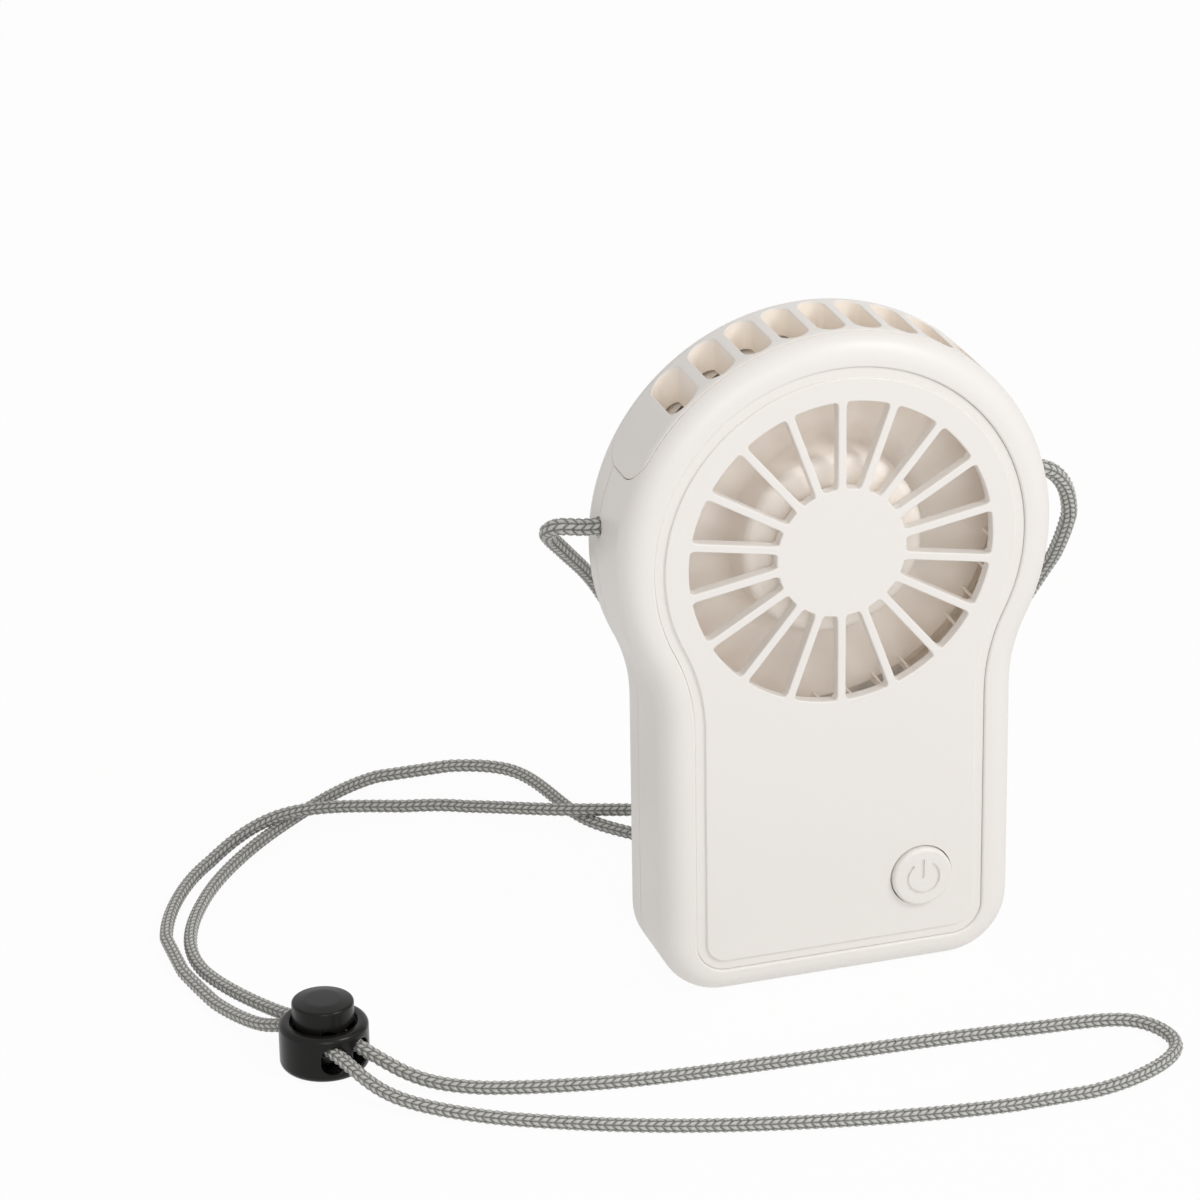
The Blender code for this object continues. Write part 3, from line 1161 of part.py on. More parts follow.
def build_wires():
    """Two wires from the motor through the raised channel, and one to each end of the cells."""
    red = material("wire_red", (0.45, 0.02, 0.02), 0.4)
    dark = material("wire_black", (0.02, 0.02, 0.02), 0.4)
    left, right, low, high = board_corners()
    aim = Vector((math.cos(CHANNEL_ANGLE), math.sin(CHANNEL_ANGLE)))
    across = Vector((-aim.y, aim.x)) * (WIRE_RADIUS + FIT)
    run = REAR_INNER + WIRE_RADIUS + FIT
    gap = (BAY_FRONT + BOARD_BACK) / 2
    bay_top = DOOR_TOP + FIT + BAY_RIM
    start = MOTOR_RADIUS + FIT + WIRE_RADIUS
    sill = (SCROLL_RADIUS + SCROLL_OUTER) / 2
    for name, side, finish in (("wire_motor_red", -1, red), ("wire_motor_black", 1, dark)):
        route = []
        for radius, depth in ((start, run), ((start + sill) / 2, run), (sill - 8 * FIT, run - FIT),
                              (sill, REAR_INNER - OVERRUN / 2)):
            spot = aim * radius + across * side
            route.append(at(spot.x, depth, spot.y))
        spot = aim * (SCROLL_OUTER + 4 * WIRE_RADIUS) + across * side
        between = (spot.y + bay_top) / 2
        route.append(at(spot.x, run - 8 * WIRE_RADIUS, between))
        route.append(at(spot.x, (run + gap) / 2, between))
        route.append(at(spot.x, gap + 4 * WIRE_RADIUS, between))
        route.append(at(spot.x, gap, between - 3 * WIRE_RADIUS))
        route.append(at(spot.x, gap, bay_top - 8 * WIRE_RADIUS))
        route.append(at(spot.x, gap, (between + high) / 2))
        route.append(at(spot.x, gap, high - STAKE_INSET))
        points, _ = smooth_path(route, WIRE_STEPS)
        poly_tube(name, points, WIRE_RADIUS, 1, finish)
    middle_rise = (low + high) / 2
    last = FIRST_CELL - CELL_PITCH * (CELLS - 1)
    tab = BAY_HALF_WIDTH - FIT - CONTACT_PLATE
    for name, side, rise, edge, finish in (("wire_battery_red", -1, FIRST_CELL, left, red),
                                           ("wire_battery_black", 1, last, right, dark)):
        begin = at(side * (tab - 3 * WIRE_RADIUS - FIT), gap, rise)
        end = at(edge - side * STAKE_INSET, gap, middle_rise)
        sag = (begin + end) / 2
        points, _ = smooth_path([begin, sag, end], WIRE_STEPS // 2)
        poly_tube(name, points, WIRE_RADIUS, 1, finish)


def build_cord():
    """The neck cord in one length, and the knots that keep its ends in the housing."""
    grey = material("cord_grey", (0.34, 0.35, 0.33), 0.75)
    left = at(-HEAD_RADIUS, PARTING, CORD_HOLE_ABOVE_AXLE)
    right = at(HEAD_RADIUS, PARTING, CORD_HOLE_ABOVE_AXLE)
    route = [left + Vector(point) * MM for point in CORD_LEAVES]
    route += [Vector(point) * MM for point in CORD_LIES]
    route += [right + Vector(point) * MM for point in CORD_RETURNS]
    points, length = smooth_path(route, CORD_TUBE_STEPS)
    for point in points:
        point.z = max(point.z, CORD_RADIUS)
    poly_tube("lanyard_cord", points, CORD_RADIUS, 2, grey)
    print("cord length in metres: %.4f" % length)
    for name, side in (("cord_knot_left", -1), ("cord_knot_right", 1)):
        outer = HEAD_RADIUS - CORD_LEAVES[0][0] * MM - FIT
        middle = outer - KNOT_THICKNESS / 2
        profile = [(0, middle - KNOT_THICKNESS / 2)]
        for i in range(CORNER_STEPS):
            turn = math.pi * (i + 0.5) / CORNER_STEPS
            profile.append((KNOT_RADIUS * math.sin(turn), middle - KNOT_THICKNESS / 2 * math.cos(turn)))
        profile.append((0, outer))
        place = along_x(PARTING, CORD_HOLE_ABOVE_AXLE)
        turned = revolve(profile, SMALL_STEPS // 2, lambda a, b, x: place(a, b, side * x))
        make(name, turned, grey)


def build_cord_lock():
    """The lock that stands on the floor: barrel, spring plunger and the two strand holes."""
    hole_half = CORD_RADIUS + LOCK_HOLE_GAP
    rest_foot = LOCK_FLOOR + FIT + PLUNGER_TRAVEL
    slot_low = rest_foot + PLUNGER_FOOT
    cord_top = slot_low + FIT + 2 * CORD_RADIUS
    hole_top = cord_top + FIT
    bore = PLUNGER_RADIUS + FIT
    turns = [math.pi / 2 * i / ROUND_STEPS for i in range(ROUND_STEPS + 1)]
    barrel = [(0, 0), (LOCK_RADIUS - LOCK_ROUND, 0)]
    for turn in turns[1:]:
        drawn = LOCK_ROUND * (1 - math.sin(turn))
        barrel.append((LOCK_RADIUS - drawn, LOCK_ROUND * (1 - math.cos(turn))))
    for turn in turns:
        drawn = LOCK_ROUND * (1 - math.cos(turn))
        barrel.append((LOCK_RADIUS - drawn, LOCK_HEIGHT - LOCK_ROUND * (1 - math.sin(turn))))
    barrel += [(bore + LOCK_RIM, LOCK_HEIGHT), (bore, LOCK_HEIGHT - LOCK_RIM)]
    barrel += [(bore, LOCK_FLOOR), (0, LOCK_FLOOR)]
    lock = make("cord_lock_barrel", revolve(barrel, LOCK_STEPS, in_lock), black())
    top = LOCK_HEIGHT + PLUNGER_PROUD
    plunger = [(0, rest_foot + PLUNGER_POCKET), (PLUNGER_POCKET_RADIUS, rest_foot + PLUNGER_POCKET)]
    plunger += [(PLUNGER_POCKET_RADIUS, rest_foot), (PLUNGER_RADIUS, rest_foot)]
    for turn in turns:
        drawn = PLUNGER_ROUND * (1 - math.cos(turn))
        plunger.append((PLUNGER_RADIUS - drawn, top - PLUNGER_ROUND * (1 - math.sin(turn))))
    plunger.append((0, top))
    button = make("cord_lock_plunger", revolve(plunger, LOCK_STEPS, in_lock), black(), in_lock(0, 0, 0))
    reach = LOCK_RADIUS + OVERRUN
    for side in (-1, 1):
        low = side * LOCK_STRAND_OFFSET - hole_half
        high = side * LOCK_STRAND_OFFSET + hole_half
        for body, bottom, ceiling in ((lock, LOCK_HOLE_BELOW, hole_top),
                                      (button, slot_low, hole_top + PLUNGER_TRAVEL)):
            round_by = hole_half * LOCK_HOLE_ROUND_SHARE
            outline = rounded_rectangle(low, high, bottom, ceiling, round_by, round_by, ROUND_STEPS)
            near = [in_lock(across, -reach, height) for across, height in outline]
            far = [in_lock(across, reach, height) for across, height in outline]
            cut(body, make("strand_hole", loft([near, far]), black()))
    points = []
    steps = LOCK_SPRING_TURNS * COIL_STEPS
    height = LOCK_FLOOR + FIT + LOCK_SPRING_WIRE
    for i in range(steps + 1):
        share = i / steps
        radius = LOCK_SPRING_INNER + (LOCK_SPRING_OUTER - LOCK_SPRING_INNER) * share
        turn = 2 * math.pi * LOCK_SPRING_TURNS * share
        points.append(in_lock(radius * math.cos(turn), radius * math.sin(turn), height))
    make("cord_lock_spring", tube(points, LOCK_SPRING_WIRE, COIL_SIDES), steel())


build_front_shell()
build_front_panel()
build_rear_shell()
build_vent_band()
build_button()
build_switch_and_board()
build_impeller()
build_motor()
build_door()
build_cells()
build_contacts()
build_wires()
build_cord()
build_cord_lock()
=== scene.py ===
# %% [markdown]
# A pocket fan on a neck cord, dressed for its picture.
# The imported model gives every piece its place. This lesson models the visible pieces again with
# finer shapes, gives every piece a finish, and sets up the light and the camera.
# Lengths are in metres. Seen from the front, X points to the right, Y to the back and Z up.

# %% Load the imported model
import math

import bpy
from mathutils import Matrix, Vector


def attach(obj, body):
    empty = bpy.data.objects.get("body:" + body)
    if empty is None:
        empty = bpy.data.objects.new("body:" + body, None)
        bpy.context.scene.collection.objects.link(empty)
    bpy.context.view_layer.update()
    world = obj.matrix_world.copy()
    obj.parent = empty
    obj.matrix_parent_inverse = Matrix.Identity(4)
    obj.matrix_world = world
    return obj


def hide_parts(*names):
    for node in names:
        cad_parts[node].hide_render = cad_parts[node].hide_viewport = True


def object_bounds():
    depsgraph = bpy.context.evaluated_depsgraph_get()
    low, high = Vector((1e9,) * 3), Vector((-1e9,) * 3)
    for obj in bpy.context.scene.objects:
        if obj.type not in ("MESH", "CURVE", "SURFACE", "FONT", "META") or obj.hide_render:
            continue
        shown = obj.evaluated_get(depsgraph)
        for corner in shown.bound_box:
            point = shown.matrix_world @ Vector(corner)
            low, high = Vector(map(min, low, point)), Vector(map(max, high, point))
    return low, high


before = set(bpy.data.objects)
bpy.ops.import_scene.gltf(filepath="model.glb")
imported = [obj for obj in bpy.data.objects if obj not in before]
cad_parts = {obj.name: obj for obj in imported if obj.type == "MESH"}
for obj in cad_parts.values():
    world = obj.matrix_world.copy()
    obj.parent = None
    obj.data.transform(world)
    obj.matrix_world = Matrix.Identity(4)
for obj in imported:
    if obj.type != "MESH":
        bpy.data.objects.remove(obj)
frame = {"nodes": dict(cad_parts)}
CAD_BOX = [list(corner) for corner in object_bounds()]
bpy.ops.object.select_all(action="DESELECT")

# %% [markdown]
# The camera stands where the photographer's did: slightly to the left of the fan and above it.
# A long lens keeps the sides nearly parallel, and a small roll matches the tilt of the picture.

# %% Camera
MM = 0.001
EYE = Vector((-295.1, -819.45, 449.0)) * MM
AIM = Vector((-47.29, -13.65, 86.09)) * MM
LENS_MM = 150.0
SENSOR_MM = 36.0
ROLL = math.radians(-0.98)

bpy.ops.object.camera_add(location=EYE)
camera = bpy.context.object
camera.name = "photo_camera"
camera.data.lens = LENS_MM
camera.data.sensor_width = SENSOR_MM
camera.data.clip_start = 0.01
backward = (EYE - AIM).normalized()
sideways = Vector((0, 0, 1)).cross(backward).normalized()
upward = backward.cross(sideways)
right = sideways * math.cos(ROLL) + upward * math.sin(ROLL)
turned = Matrix((right, backward.cross(right), backward)).transposed()
camera.rotation_euler = turned.to_euler()
bpy.context.scene.camera = camera

# %% [markdown]
# Small tools that the later cells share. Each works on the active object, as by hand.

# %% Shared tools
SMOOTH_ANGLE = math.radians(35.0)
SAME_PLACE = 0.01 * MM


def take_all():
    bpy.ops.mesh.select_all(action="SELECT")


def only(body):
    """Make a body the active one, and select nothing else."""
    bpy.ops.object.select_all(action="DESELECT")
    bpy.context.view_layer.objects.active = body
    body.select_set(True)


def new_vertex(place, name):
    """Start an object with one vertex at a place, in edit mode, with that vertex selected."""
    bpy.ops.object.select_all(action="DESELECT")
    bpy.ops.mesh.primitive_plane_add(size=MM)
    bpy.context.object.name = name
    bpy.ops.object.mode_set(mode="EDIT")
    bpy.ops.mesh.select_mode(type="VERT")
    take_all()
    bpy.ops.mesh.merge(type="CENTER")
    bpy.ops.transform.translate(value=place)


def run(x, y, z):
    """Extrude the selection: a vertex draws a straight line, and an outline a wall."""
    bpy.ops.mesh.extrude_region_move(TRANSFORM_OT_translate={"value": (x, y, z)})


def swing(centre, degrees, steps, axis=(0, 1, 0)):
    """Extrude the selection along an arc, anticlockwise as seen from the front."""
    axis = [math.copysign(1, degrees) * part for part in axis]
    bpy.ops.mesh.spin(steps=steps, angle=math.radians(abs(degrees)), center=centre, axis=axis)


def fill():
    """Close the outline that was drawn, and make one flat face of it."""
    take_all()
    bpy.ops.mesh.remove_doubles(threshold=SAME_PLACE)
    bpy.ops.mesh.edge_face_add()
    return bpy.context.object


def finish_mesh():
    """Leave edit mode with outward normals and smooth shading up to an angle."""
    bpy.ops.object.mode_set(mode="EDIT")
    take_all()
    bpy.ops.mesh.remove_doubles(threshold=0.002 * MM)
    bpy.ops.mesh.normals_make_consistent(inside=False)
    bpy.ops.object.mode_set(mode="OBJECT")
    bpy.ops.object.shade_smooth_by_angle(angle=SMOOTH_ANGLE)
    return bpy.context.object


def pick(test, kind="VERT"):
    """Select the vertices or faces that pass a test, and nothing else."""
    bpy.ops.mesh.select_mode(type=kind)
    bpy.ops.mesh.select_all(action="DESELECT")
    bpy.ops.object.mode_set(mode="OBJECT")
    mesh = bpy.context.object.data
    for part in mesh.vertices if kind == "VERT" else mesh.polygons:
        if test(part):
            part.select = True
    bpy.ops.object.mode_set(mode="EDIT")


def dress(body, node, rider):
    """Let flat faces lead the shading, and put the piece in the place of its node, on its body."""
    only(body)
    bpy.ops.object.shade_smooth_by_angle(angle=SMOOTH_ANGLE)
    step = body.modifiers.new("weighted", "WEIGHTED_NORMAL")
    step.keep_sharp = True
    step.weight = 90
    bpy.ops.object.modifier_apply(modifier=step.name)
    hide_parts(node)
    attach(body, rider)
    print(body.name, "vertices", len(body.data.vertices))


def combine(body, tool, operation):
    """Join a tool to a body or cut it out, and remove the tool."""
    only(body)
    step = body.modifiers.new("combine", "BOOLEAN")
    step.operation = operation
    step.solver = "EXACT"
    step.object = tool
    bpy.ops.object.modifier_apply(modifier=step.name)
    bpy.data.objects.remove(tool, do_unlink=True)


def cut(body, tool):
    combine(body, tool, "DIFFERENCE")


def unite(body, tool):
    combine(body, tool, "UNION")


def close_slivers(body):
    """Merge points that the cuts left almost on each other, and close the slits between them."""
    only(body)
    bpy.ops.object.mode_set(mode="EDIT")
    take_all()
    bpy.ops.mesh.remove_doubles(threshold=SAME_PLACE)
    bpy.ops.mesh.select_mode(type="EDGE")
    bpy.ops.mesh.select_all(action="DESELECT")
    bpy.ops.mesh.select_non_manifold(extend=False, use_wire=True, use_boundary=True, use_multi_face=False,
                                     use_non_contiguous=False, use_verts=False)
    bpy.ops.mesh.fill_holes(sides=0)
    bpy.ops.mesh.select_mode(type="VERT")
    bpy.ops.object.mode_set(mode="OBJECT")


def join(bodies):
    """Make one object of several, under the name of the first."""
    only(bodies[0])
    for body in bodies:
        body.select_set(True)
    bpy.ops.object.join()
    return bodies[0]


# %% [markdown]
# The neck cord is one length of round braid. It leaves the left hole, drops behind the fan, runs
# over the floor and through the cord lock, makes the front loop, and comes back the same way.
# A tube drawn along a smooth curve is right for its run. Its stitches are real relief: every
# ring of the tube zigzags round it, so that the rings lie along the V shapes of the braid.

# %% The cord's route
CORD_RADIUS = 1.38 * MM
LOOSE_RADIUS = 1.7 * MM
LOOSE_LENGTH = 40.0 * MM
CORD_ROUTE = [
    (-39.6, 1.85, 94.1), (-45.6, 1.85, 94.2), (-49.6, 3.2, 94.5), (-51.0, 6.0, 92.8),
    (-50.1, 9.5, 90.1), (-45.9, 13.45, 84.9), (-36.3, 22.5, 72.1), (-16.0, 40.0, 28.0),
    (-15.5, 52.0, 2.4), (-26.0, 66.0, 1.1), (-35.5, 96.0, 1.1), (-60.0, 101.3, 1.1), (-86.0, 84.8, 1.1),
    (-108.5, 58.0, 1.1), (-116.9, 32.0, 1.1), (-106.5, -0.8, 4.0), (-102.8, -7.0, 5.8),
    (-97.6, -21.3, 5.9), (-87.0, -31.7, 2.2), (-58.0, -40.9, 1.1), (22.0, -46.9, 1.1),
    (46.0, -51.3, 1.1), (49.0, -62.5, 1.1), (30.0, -73.3, 1.1), (-45.0, -62.2, 1.1),
    (-94.0, -37.0, 2.4), (-102.9, -22.0, 5.9), (-107.8, -8.7, 5.8), (-112.2, -2.0, 3.6),
    (-118.2, 17.0, 1.1), (-120.3, 42.0, 1.1), (-106.5, 70.5, 1.1), (-86.0, 84.9, 3.7),
    (-54.0, 83.6, 1.1), (-26.2, 66.3, 3.7), (4.0, 64.5, 1.1), (34.0, 50.0, 12.8),
    (48.3, 34.0, 42.0), (53.7, 19.45, 63.9), (55.2, 11.0, 75.9), (54.0, 7.0, 83.5),
    (50.8, 3.6, 90.2), (46.4, 1.85, 93.9), (39.6, 1.85, 94.1),
]
CURVE_STEPS = 16
RELAX_STEP = 1.0 * MM
RELAX_PASSES = 4


def through(route):
    """A fine curve that passes through every point of a route without overshooting."""
    fine = []
    padded = [route[0] * 2 - route[1]] + route + [route[-1] * 2 - route[-2]]
    for i in range(1, len(padded) - 2):
        p0, p1, p2, p3 = padded[i - 1:i + 3]
        t1 = math.sqrt((p1 - p0).length)
        t2 = t1 + math.sqrt((p2 - p1).length)
        t3 = t2 + math.sqrt((p3 - p2).length)
        for k in range(CURVE_STEPS):
            t = t1 + (t2 - t1) * k / CURVE_STEPS
            a1 = p0.lerp(p1, t / t1)
            a2 = p1.lerp(p2, (t - t1) / (t2 - t1))
            a3 = p2.lerp(p3, (t - t2) / (t3 - t2))
            b1 = a1.lerp(a2, t / t2)
            b2 = a2.lerp(a3, (t - t1) / (t3 - t1))
            fine.append(b1.lerp(b2, (t - t1) / (t2 - t1)))
    fine.append(route[-1])
    return fine


def spread(points, count):
    """Points evenly spaced along a polyline."""
    reached = [0.0]
    for here, there in zip(points, points[1:]):
        reached.append(reached[-1] + (there - here).length)
    chosen = []
    j = 0
    for i in range(count):
        target = reached[-1] * i / (count - 1)
        while j < len(points) - 2 and reached[j + 1] < target:
            j += 1
        part = (target - reached[j]) / (reached[j + 1] - reached[j])
        chosen.append(points[j].lerp(points[j + 1], part))
    return chosen


def measure(points):
    return sum((there - here).length for here, there in zip(points, points[1:]))


def limp_path(route):
    """The evenly spaced middle line of a limp cord along a route."""
    fine = through([Vector(point) * MM for point in route])
    even = spread(fine, int(measure(fine) / RELAX_STEP))
    for _ in range(RELAX_PASSES):
        inner = [(even[i - 1] + even[i] * 2 + even[i + 1]) / 4 for i in range(1, len(even) - 1)]
        even = [even[0]] + inner + [even[-1]]
    return even


def kept_inside(line, radius):
    """The line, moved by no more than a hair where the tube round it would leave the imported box."""
    low, high = [Vector(corner) for corner in CAD_BOX]
    reach = Vector((radius, radius, radius))
    return [Vector(min(max(values[0], values[1]), values[2])
                   for values in zip(point, low + reach, high - reach)) for point in line]


cord_line = kept_inside(limp_path(CORD_ROUTE), CORD_RADIUS)

# %% The braided tube
STITCH = 1.5 * MM
RINGS_PER_STITCH = 5
BRAID_COLUMNS = 8
COLUMN_SIDES = 3
BRAID_SIDES = COLUMN_SIDES * BRAID_COLUMNS
STITCH_SLANT = 0.62
GROOVE = 0.15
COLUMN_GROOVE = 0.1


def braided_tube(name, line, radius):
    """A closed tube whose rings zigzag along the stitches of a braid, with UVs that follow them."""
    length = measure(line)
    stitches = round(length / STITCH)
    rings = stitches * RINGS_PER_STITCH
    centres = spread(line, rings + 1)
    ahead = [(centres[min(i + 1, rings)] - centres[max(i - 1, 0)]).normalized() for i in range(rings + 1)]
    across = [ahead[0].cross(Vector((0, 0, 1))).normalized()]
    for direction in ahead[1:]:
        across.append((across[-1] - direction * across[-1].dot(direction)).normalized())
    verts = []
    for i in range(rings + 1):
        end_fade = min(i, rings - i, RINGS_PER_STITCH) / RINGS_PER_STITCH
        loose = min(max(1.5 - min(i, rings - i) / rings * length / LOOSE_LENGTH, 0), 1)
        full = radius + (LOOSE_RADIUS - radius) * loose
        for k in range(BRAID_SIDES):
            column_place = abs(k % (2 * COLUMN_SIDES) - COLUMN_SIDES) / COLUMN_SIDES
            shift = (column_place - 0.5) * STITCH_SLANT * RINGS_PER_STITCH * end_fade
            place = min(max(i + shift, 0.0), rings)
            low = min(int(place), rings - 1)
            part = place - low
            centre = centres[low].lerp(centres[low + 1], part)
            out = across[low].lerp(across[low + 1], part).normalized()
            side = ahead[low].lerp(ahead[low + 1], part).normalized().cross(out)
            phase = 2 * math.pi * i / RINGS_PER_STITCH
            dip = GROOVE * (0.5 + 0.5 * math.cos(phase)) + COLUMN_GROOVE * (k % COLUMN_SIDES == 0)
            turn = 2 * math.pi * k / BRAID_SIDES
            verts.append(centre + (out * math.cos(turn) + side * math.sin(turn)) * (full * (1 - dip)))
    faces = []
    uvs = []
    for i in range(rings):
        here = i * BRAID_SIDES
        there = here + BRAID_SIDES
        low = i / RINGS_PER_STITCH
        high = (i + 1) / RINGS_PER_STITCH
        for k in range(BRAID_SIDES):
            j = (k + 1) % BRAID_SIDES
            faces.append((here + k, here + j, there + j, there + k))
            left = k / COLUMN_SIDES
            right = (k + 1) / COLUMN_SIDES
            uvs += [(left, low), (right, low), (right, high), (left, high)]
    first = tuple(reversed(range(BRAID_SIDES)))
    last = tuple(rings * BRAID_SIDES + k for k in range(BRAID_SIDES))
    faces += [first, last]
    uvs += [(0, 0)] * (2 * BRAID_SIDES)
    mesh = bpy.data.meshes.new(name)
    mesh.from_pydata(verts, [], faces)
    layer = mesh.uv_layers.new(name="braid")
    layer.data.foreach_set("uv", [value for uv in uvs for value in uv])
    mesh.shade_smooth()
    tube = bpy.data.objects.new(name, mesh)
    bpy.context.collection.objects.link(tube)
    print(name, "stitches", stitches, "faces", len(faces))
    return tube


lanyard = braided_tube("lanyard_braid", cord_line, CORD_RADIUS)
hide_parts("lanyard_cord")
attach(lanyard, "housing")

# %% [markdown]
# The housing's outline is a round head that flows through two hollow neck arcs into a straight
# body with round lower corners. It is drawn once, by swinging and running a single vertex, and
# each shell starts from it as one flat face that is extruded and inset into rounded edges.

# %% The outline of the housing
HEAD_Z = 88.7 * MM
HEAD_RADIUS = 43.0 * MM
NECK_X = 65.4 * MM
NECK_RADIUS = 30.0 * MM
NECK_Z = HEAD_Z - math.sqrt((HEAD_RADIUS + NECK_RADIUS) ** 2 - NECK_X ** 2)
NECK_DEGREES = math.degrees(math.atan2(HEAD_Z - NECK_Z, NECK_X))
HALF_WIDTH = 35.4 * MM
CORNER = 12.4 * MM
FRONT_Y = -13.65 * MM
BACK_Y = 10.35 * MM
PARTING_Y = 1.85 * MM
HEAD_STEPS = 120
NECK_STEPS = 14
CORNER_STEPS = 14


def draw_outline(name, y, inset=0.0, drop=0.0):
    """A flat face in the shape of the housing, moved inwards; drop lowers its bottom edge."""
    head = HEAD_RADIUS - inset
    touch = math.radians(NECK_DEGREES)
    corner = max(CORNER - inset, MM)
    low = inset - drop + corner
    side = HALF_WIDTH - inset - corner
    new_vertex((head * math.cos(touch), y, HEAD_Z - head * math.sin(touch)), name)
    swing((0, y, HEAD_Z), 180 + 2 * NECK_DEGREES, HEAD_STEPS)
    swing((-NECK_X, y, NECK_Z), -NECK_DEGREES, NECK_STEPS)
    run(0, 0, low - NECK_Z)
    swing((-side, y, low), 90, CORNER_STEPS)
    run(2 * side, 0, 0)
    swing((side, y, low), 90, CORNER_STEPS)
    run(0, 0, NECK_Z - low)
    swing((NECK_X, y, NECK_Z), -NECK_DEGREES, NECK_STEPS)
    return fill()


def push(distance):
    """Extrude the selected face along Y."""
    run(0, distance, 0)


def inset(thickness, depth=0.0):
    bpy.ops.mesh.inset(thickness=thickness, depth=depth)


def quarter(radius, steps):
    """The steps of a quarter round, in pairs: the first measure shrinks and the second grows."""
    for i in range(steps):
        start = math.pi / 2 * i / steps
        end = math.pi / 2 * (i + 1) / steps
        yield radius * (math.sin(end) - math.sin(start)), radius * (math.cos(start) - math.cos(end))


def round_over(radius, steps):
    """Inset the selected face so that a quarter round leads from its side wall onto it."""
    for rise, width in quarter(radius, steps):
        inset(width, rise)


def flare(radius, steps):
    """Inset the face of a cutter at a surface, so that the mouth of its cut is rounded."""
    for width, rise in quarter(radius, steps):
        inset(width, rise)


def hollow_over(radius, steps):
    """Inset the selected face so that the edge round it turns down into a hole."""
    for width, fall in quarter(radius, steps):
        inset(width, -fall)


def pick_face(y):
    """Select the flat faces that lie at a depth."""
    pick(lambda face: abs(face.center.y - y) < 0.02 * MM and abs(face.normal.y) > 0.99, "FACE")


def thicken(distance, y):
    """Extrude the drawn face, turn the normals outwards, and select the face at a depth."""
    push(distance)
    take_all()
    bpy.ops.mesh.normals_make_consistent(inside=False)
    pick_face(y)


# %% Front shell
FRONT_FILLET = 5.0 * MM
RIM_WIDTH = 6.4 * MM
RIM_ROUND = 0.45 * MM
RIM_DROP = 0.9 * MM
LEDGE_WIDTH = 2.6 * MM
LEDGE_FRONT_Y = FRONT_Y + 2.0 * MM
LEDGE_BACK_Y = FRONT_Y + 3.0 * MM
WALL = 1.8 * MM
HALF_SEAM = 0.09 * MM
SEAM_ROUND = 0.14 * MM
SUPPORT = 0.15 * MM
INNER_COVE = 1.5 * MM
FRONT_EDGE_Y = PARTING_Y - HALF_SEAM - SEAM_ROUND


def inset_at(spot):
    """How far a point of the lower body lies inside the outline."""
    side = abs(spot.x) - (HALF_WIDTH - CORNER)
    down = CORNER - spot.z
    if side > 0 and down > 0:
        return CORNER - math.hypot(side, down)
    return min(HALF_WIDTH - abs(spot.x), spot.z)


front_shell = draw_outline("front_shell_skin", FRONT_EDGE_Y)
thicken(FRONT_Y + FRONT_FILLET - FRONT_EDGE_Y, FRONT_Y + FRONT_FILLET)
round_over(FRONT_FILLET, 12)
inset(SUPPORT)
inset(RIM_WIDTH - RIM_ROUND - FRONT_FILLET - 2 * SUPPORT)
inset(SUPPORT)
hollow_over(RIM_ROUND, 4)
push(LEDGE_FRONT_Y - FRONT_Y - RIM_ROUND)
inset(LEDGE_WIDTH)
push(LEDGE_BACK_Y - LEDGE_FRONT_Y)
bpy.ops.mesh.delete(type="ONLY_FACE")
pick_face(FRONT_EDGE_Y)
round_over(SEAM_ROUND, 2)
inset(WALL - SEAM_ROUND)
push(LEDGE_BACK_Y + INNER_COVE - (PARTING_Y - HALF_SEAM))
inset(0.5 * MM, -1.0 * MM)
inset(1.0 * MM, -0.5 * MM)
inset(RIM_WIDTH + LEDGE_WIDTH - WALL - INNER_COVE)
bpy.ops.mesh.delete(type="ONLY_FACE")
bpy.ops.object.mode_set(mode="OBJECT")
for vertex in front_shell.data.vertices:
    spot = vertex.co
    if spot.z < CORNER + 0.01 * MM and spot.y < LEDGE_BACK_Y + 0.5 * MM:
        part = (inset_at(spot) - FRONT_FILLET) / (RIM_WIDTH - RIM_ROUND - FRONT_FILLET)
        spot.z -= RIM_DROP * min(max(part, 0), 1)
finish_mesh()

# %% [markdown]
# The vent band is a strip bent over the head. It is easiest to model flat, where its round ends
# are plain shapes, and to bend it afterwards. The same flat shape, a little larger, is bent too
# and cuts the place for the band out of both shells. The slots are cut straight down through the
# bent band, side by side, as a mould that opens upwards leaves them.

# %% Flat plates and the bend
BODY_DEPTH = BACK_Y - FRONT_Y
REAR_FILLET = 4.0 * MM
BAND_NEAR = 3.4 * MM
BAND_FAR = BODY_DEPTH - BAND_NEAR
BAND_HALF = HEAD_RADIUS * math.radians(66.5)
BAND_CORNER = 6.0 * MM
BAND_SKIN = 1.8 * MM
BLOCK_DEPTH = 5.4 * MM
BLOCK_HALF = HEAD_RADIUS * math.radians(59)
VENTS = 9
VENT_PITCH = 7.15 * MM
VENT_HALF = 2.65 * MM
VENT_NEAR = 4.4 * MM
VENT_ROUND = 0.3 * MM
VENT_BOTTOM = 34.0 * MM
VENT_LOWEST = 15.0 * MM
BEND_CUT = 1.1 * MM
EDGE_CUT = 0.2 * MM


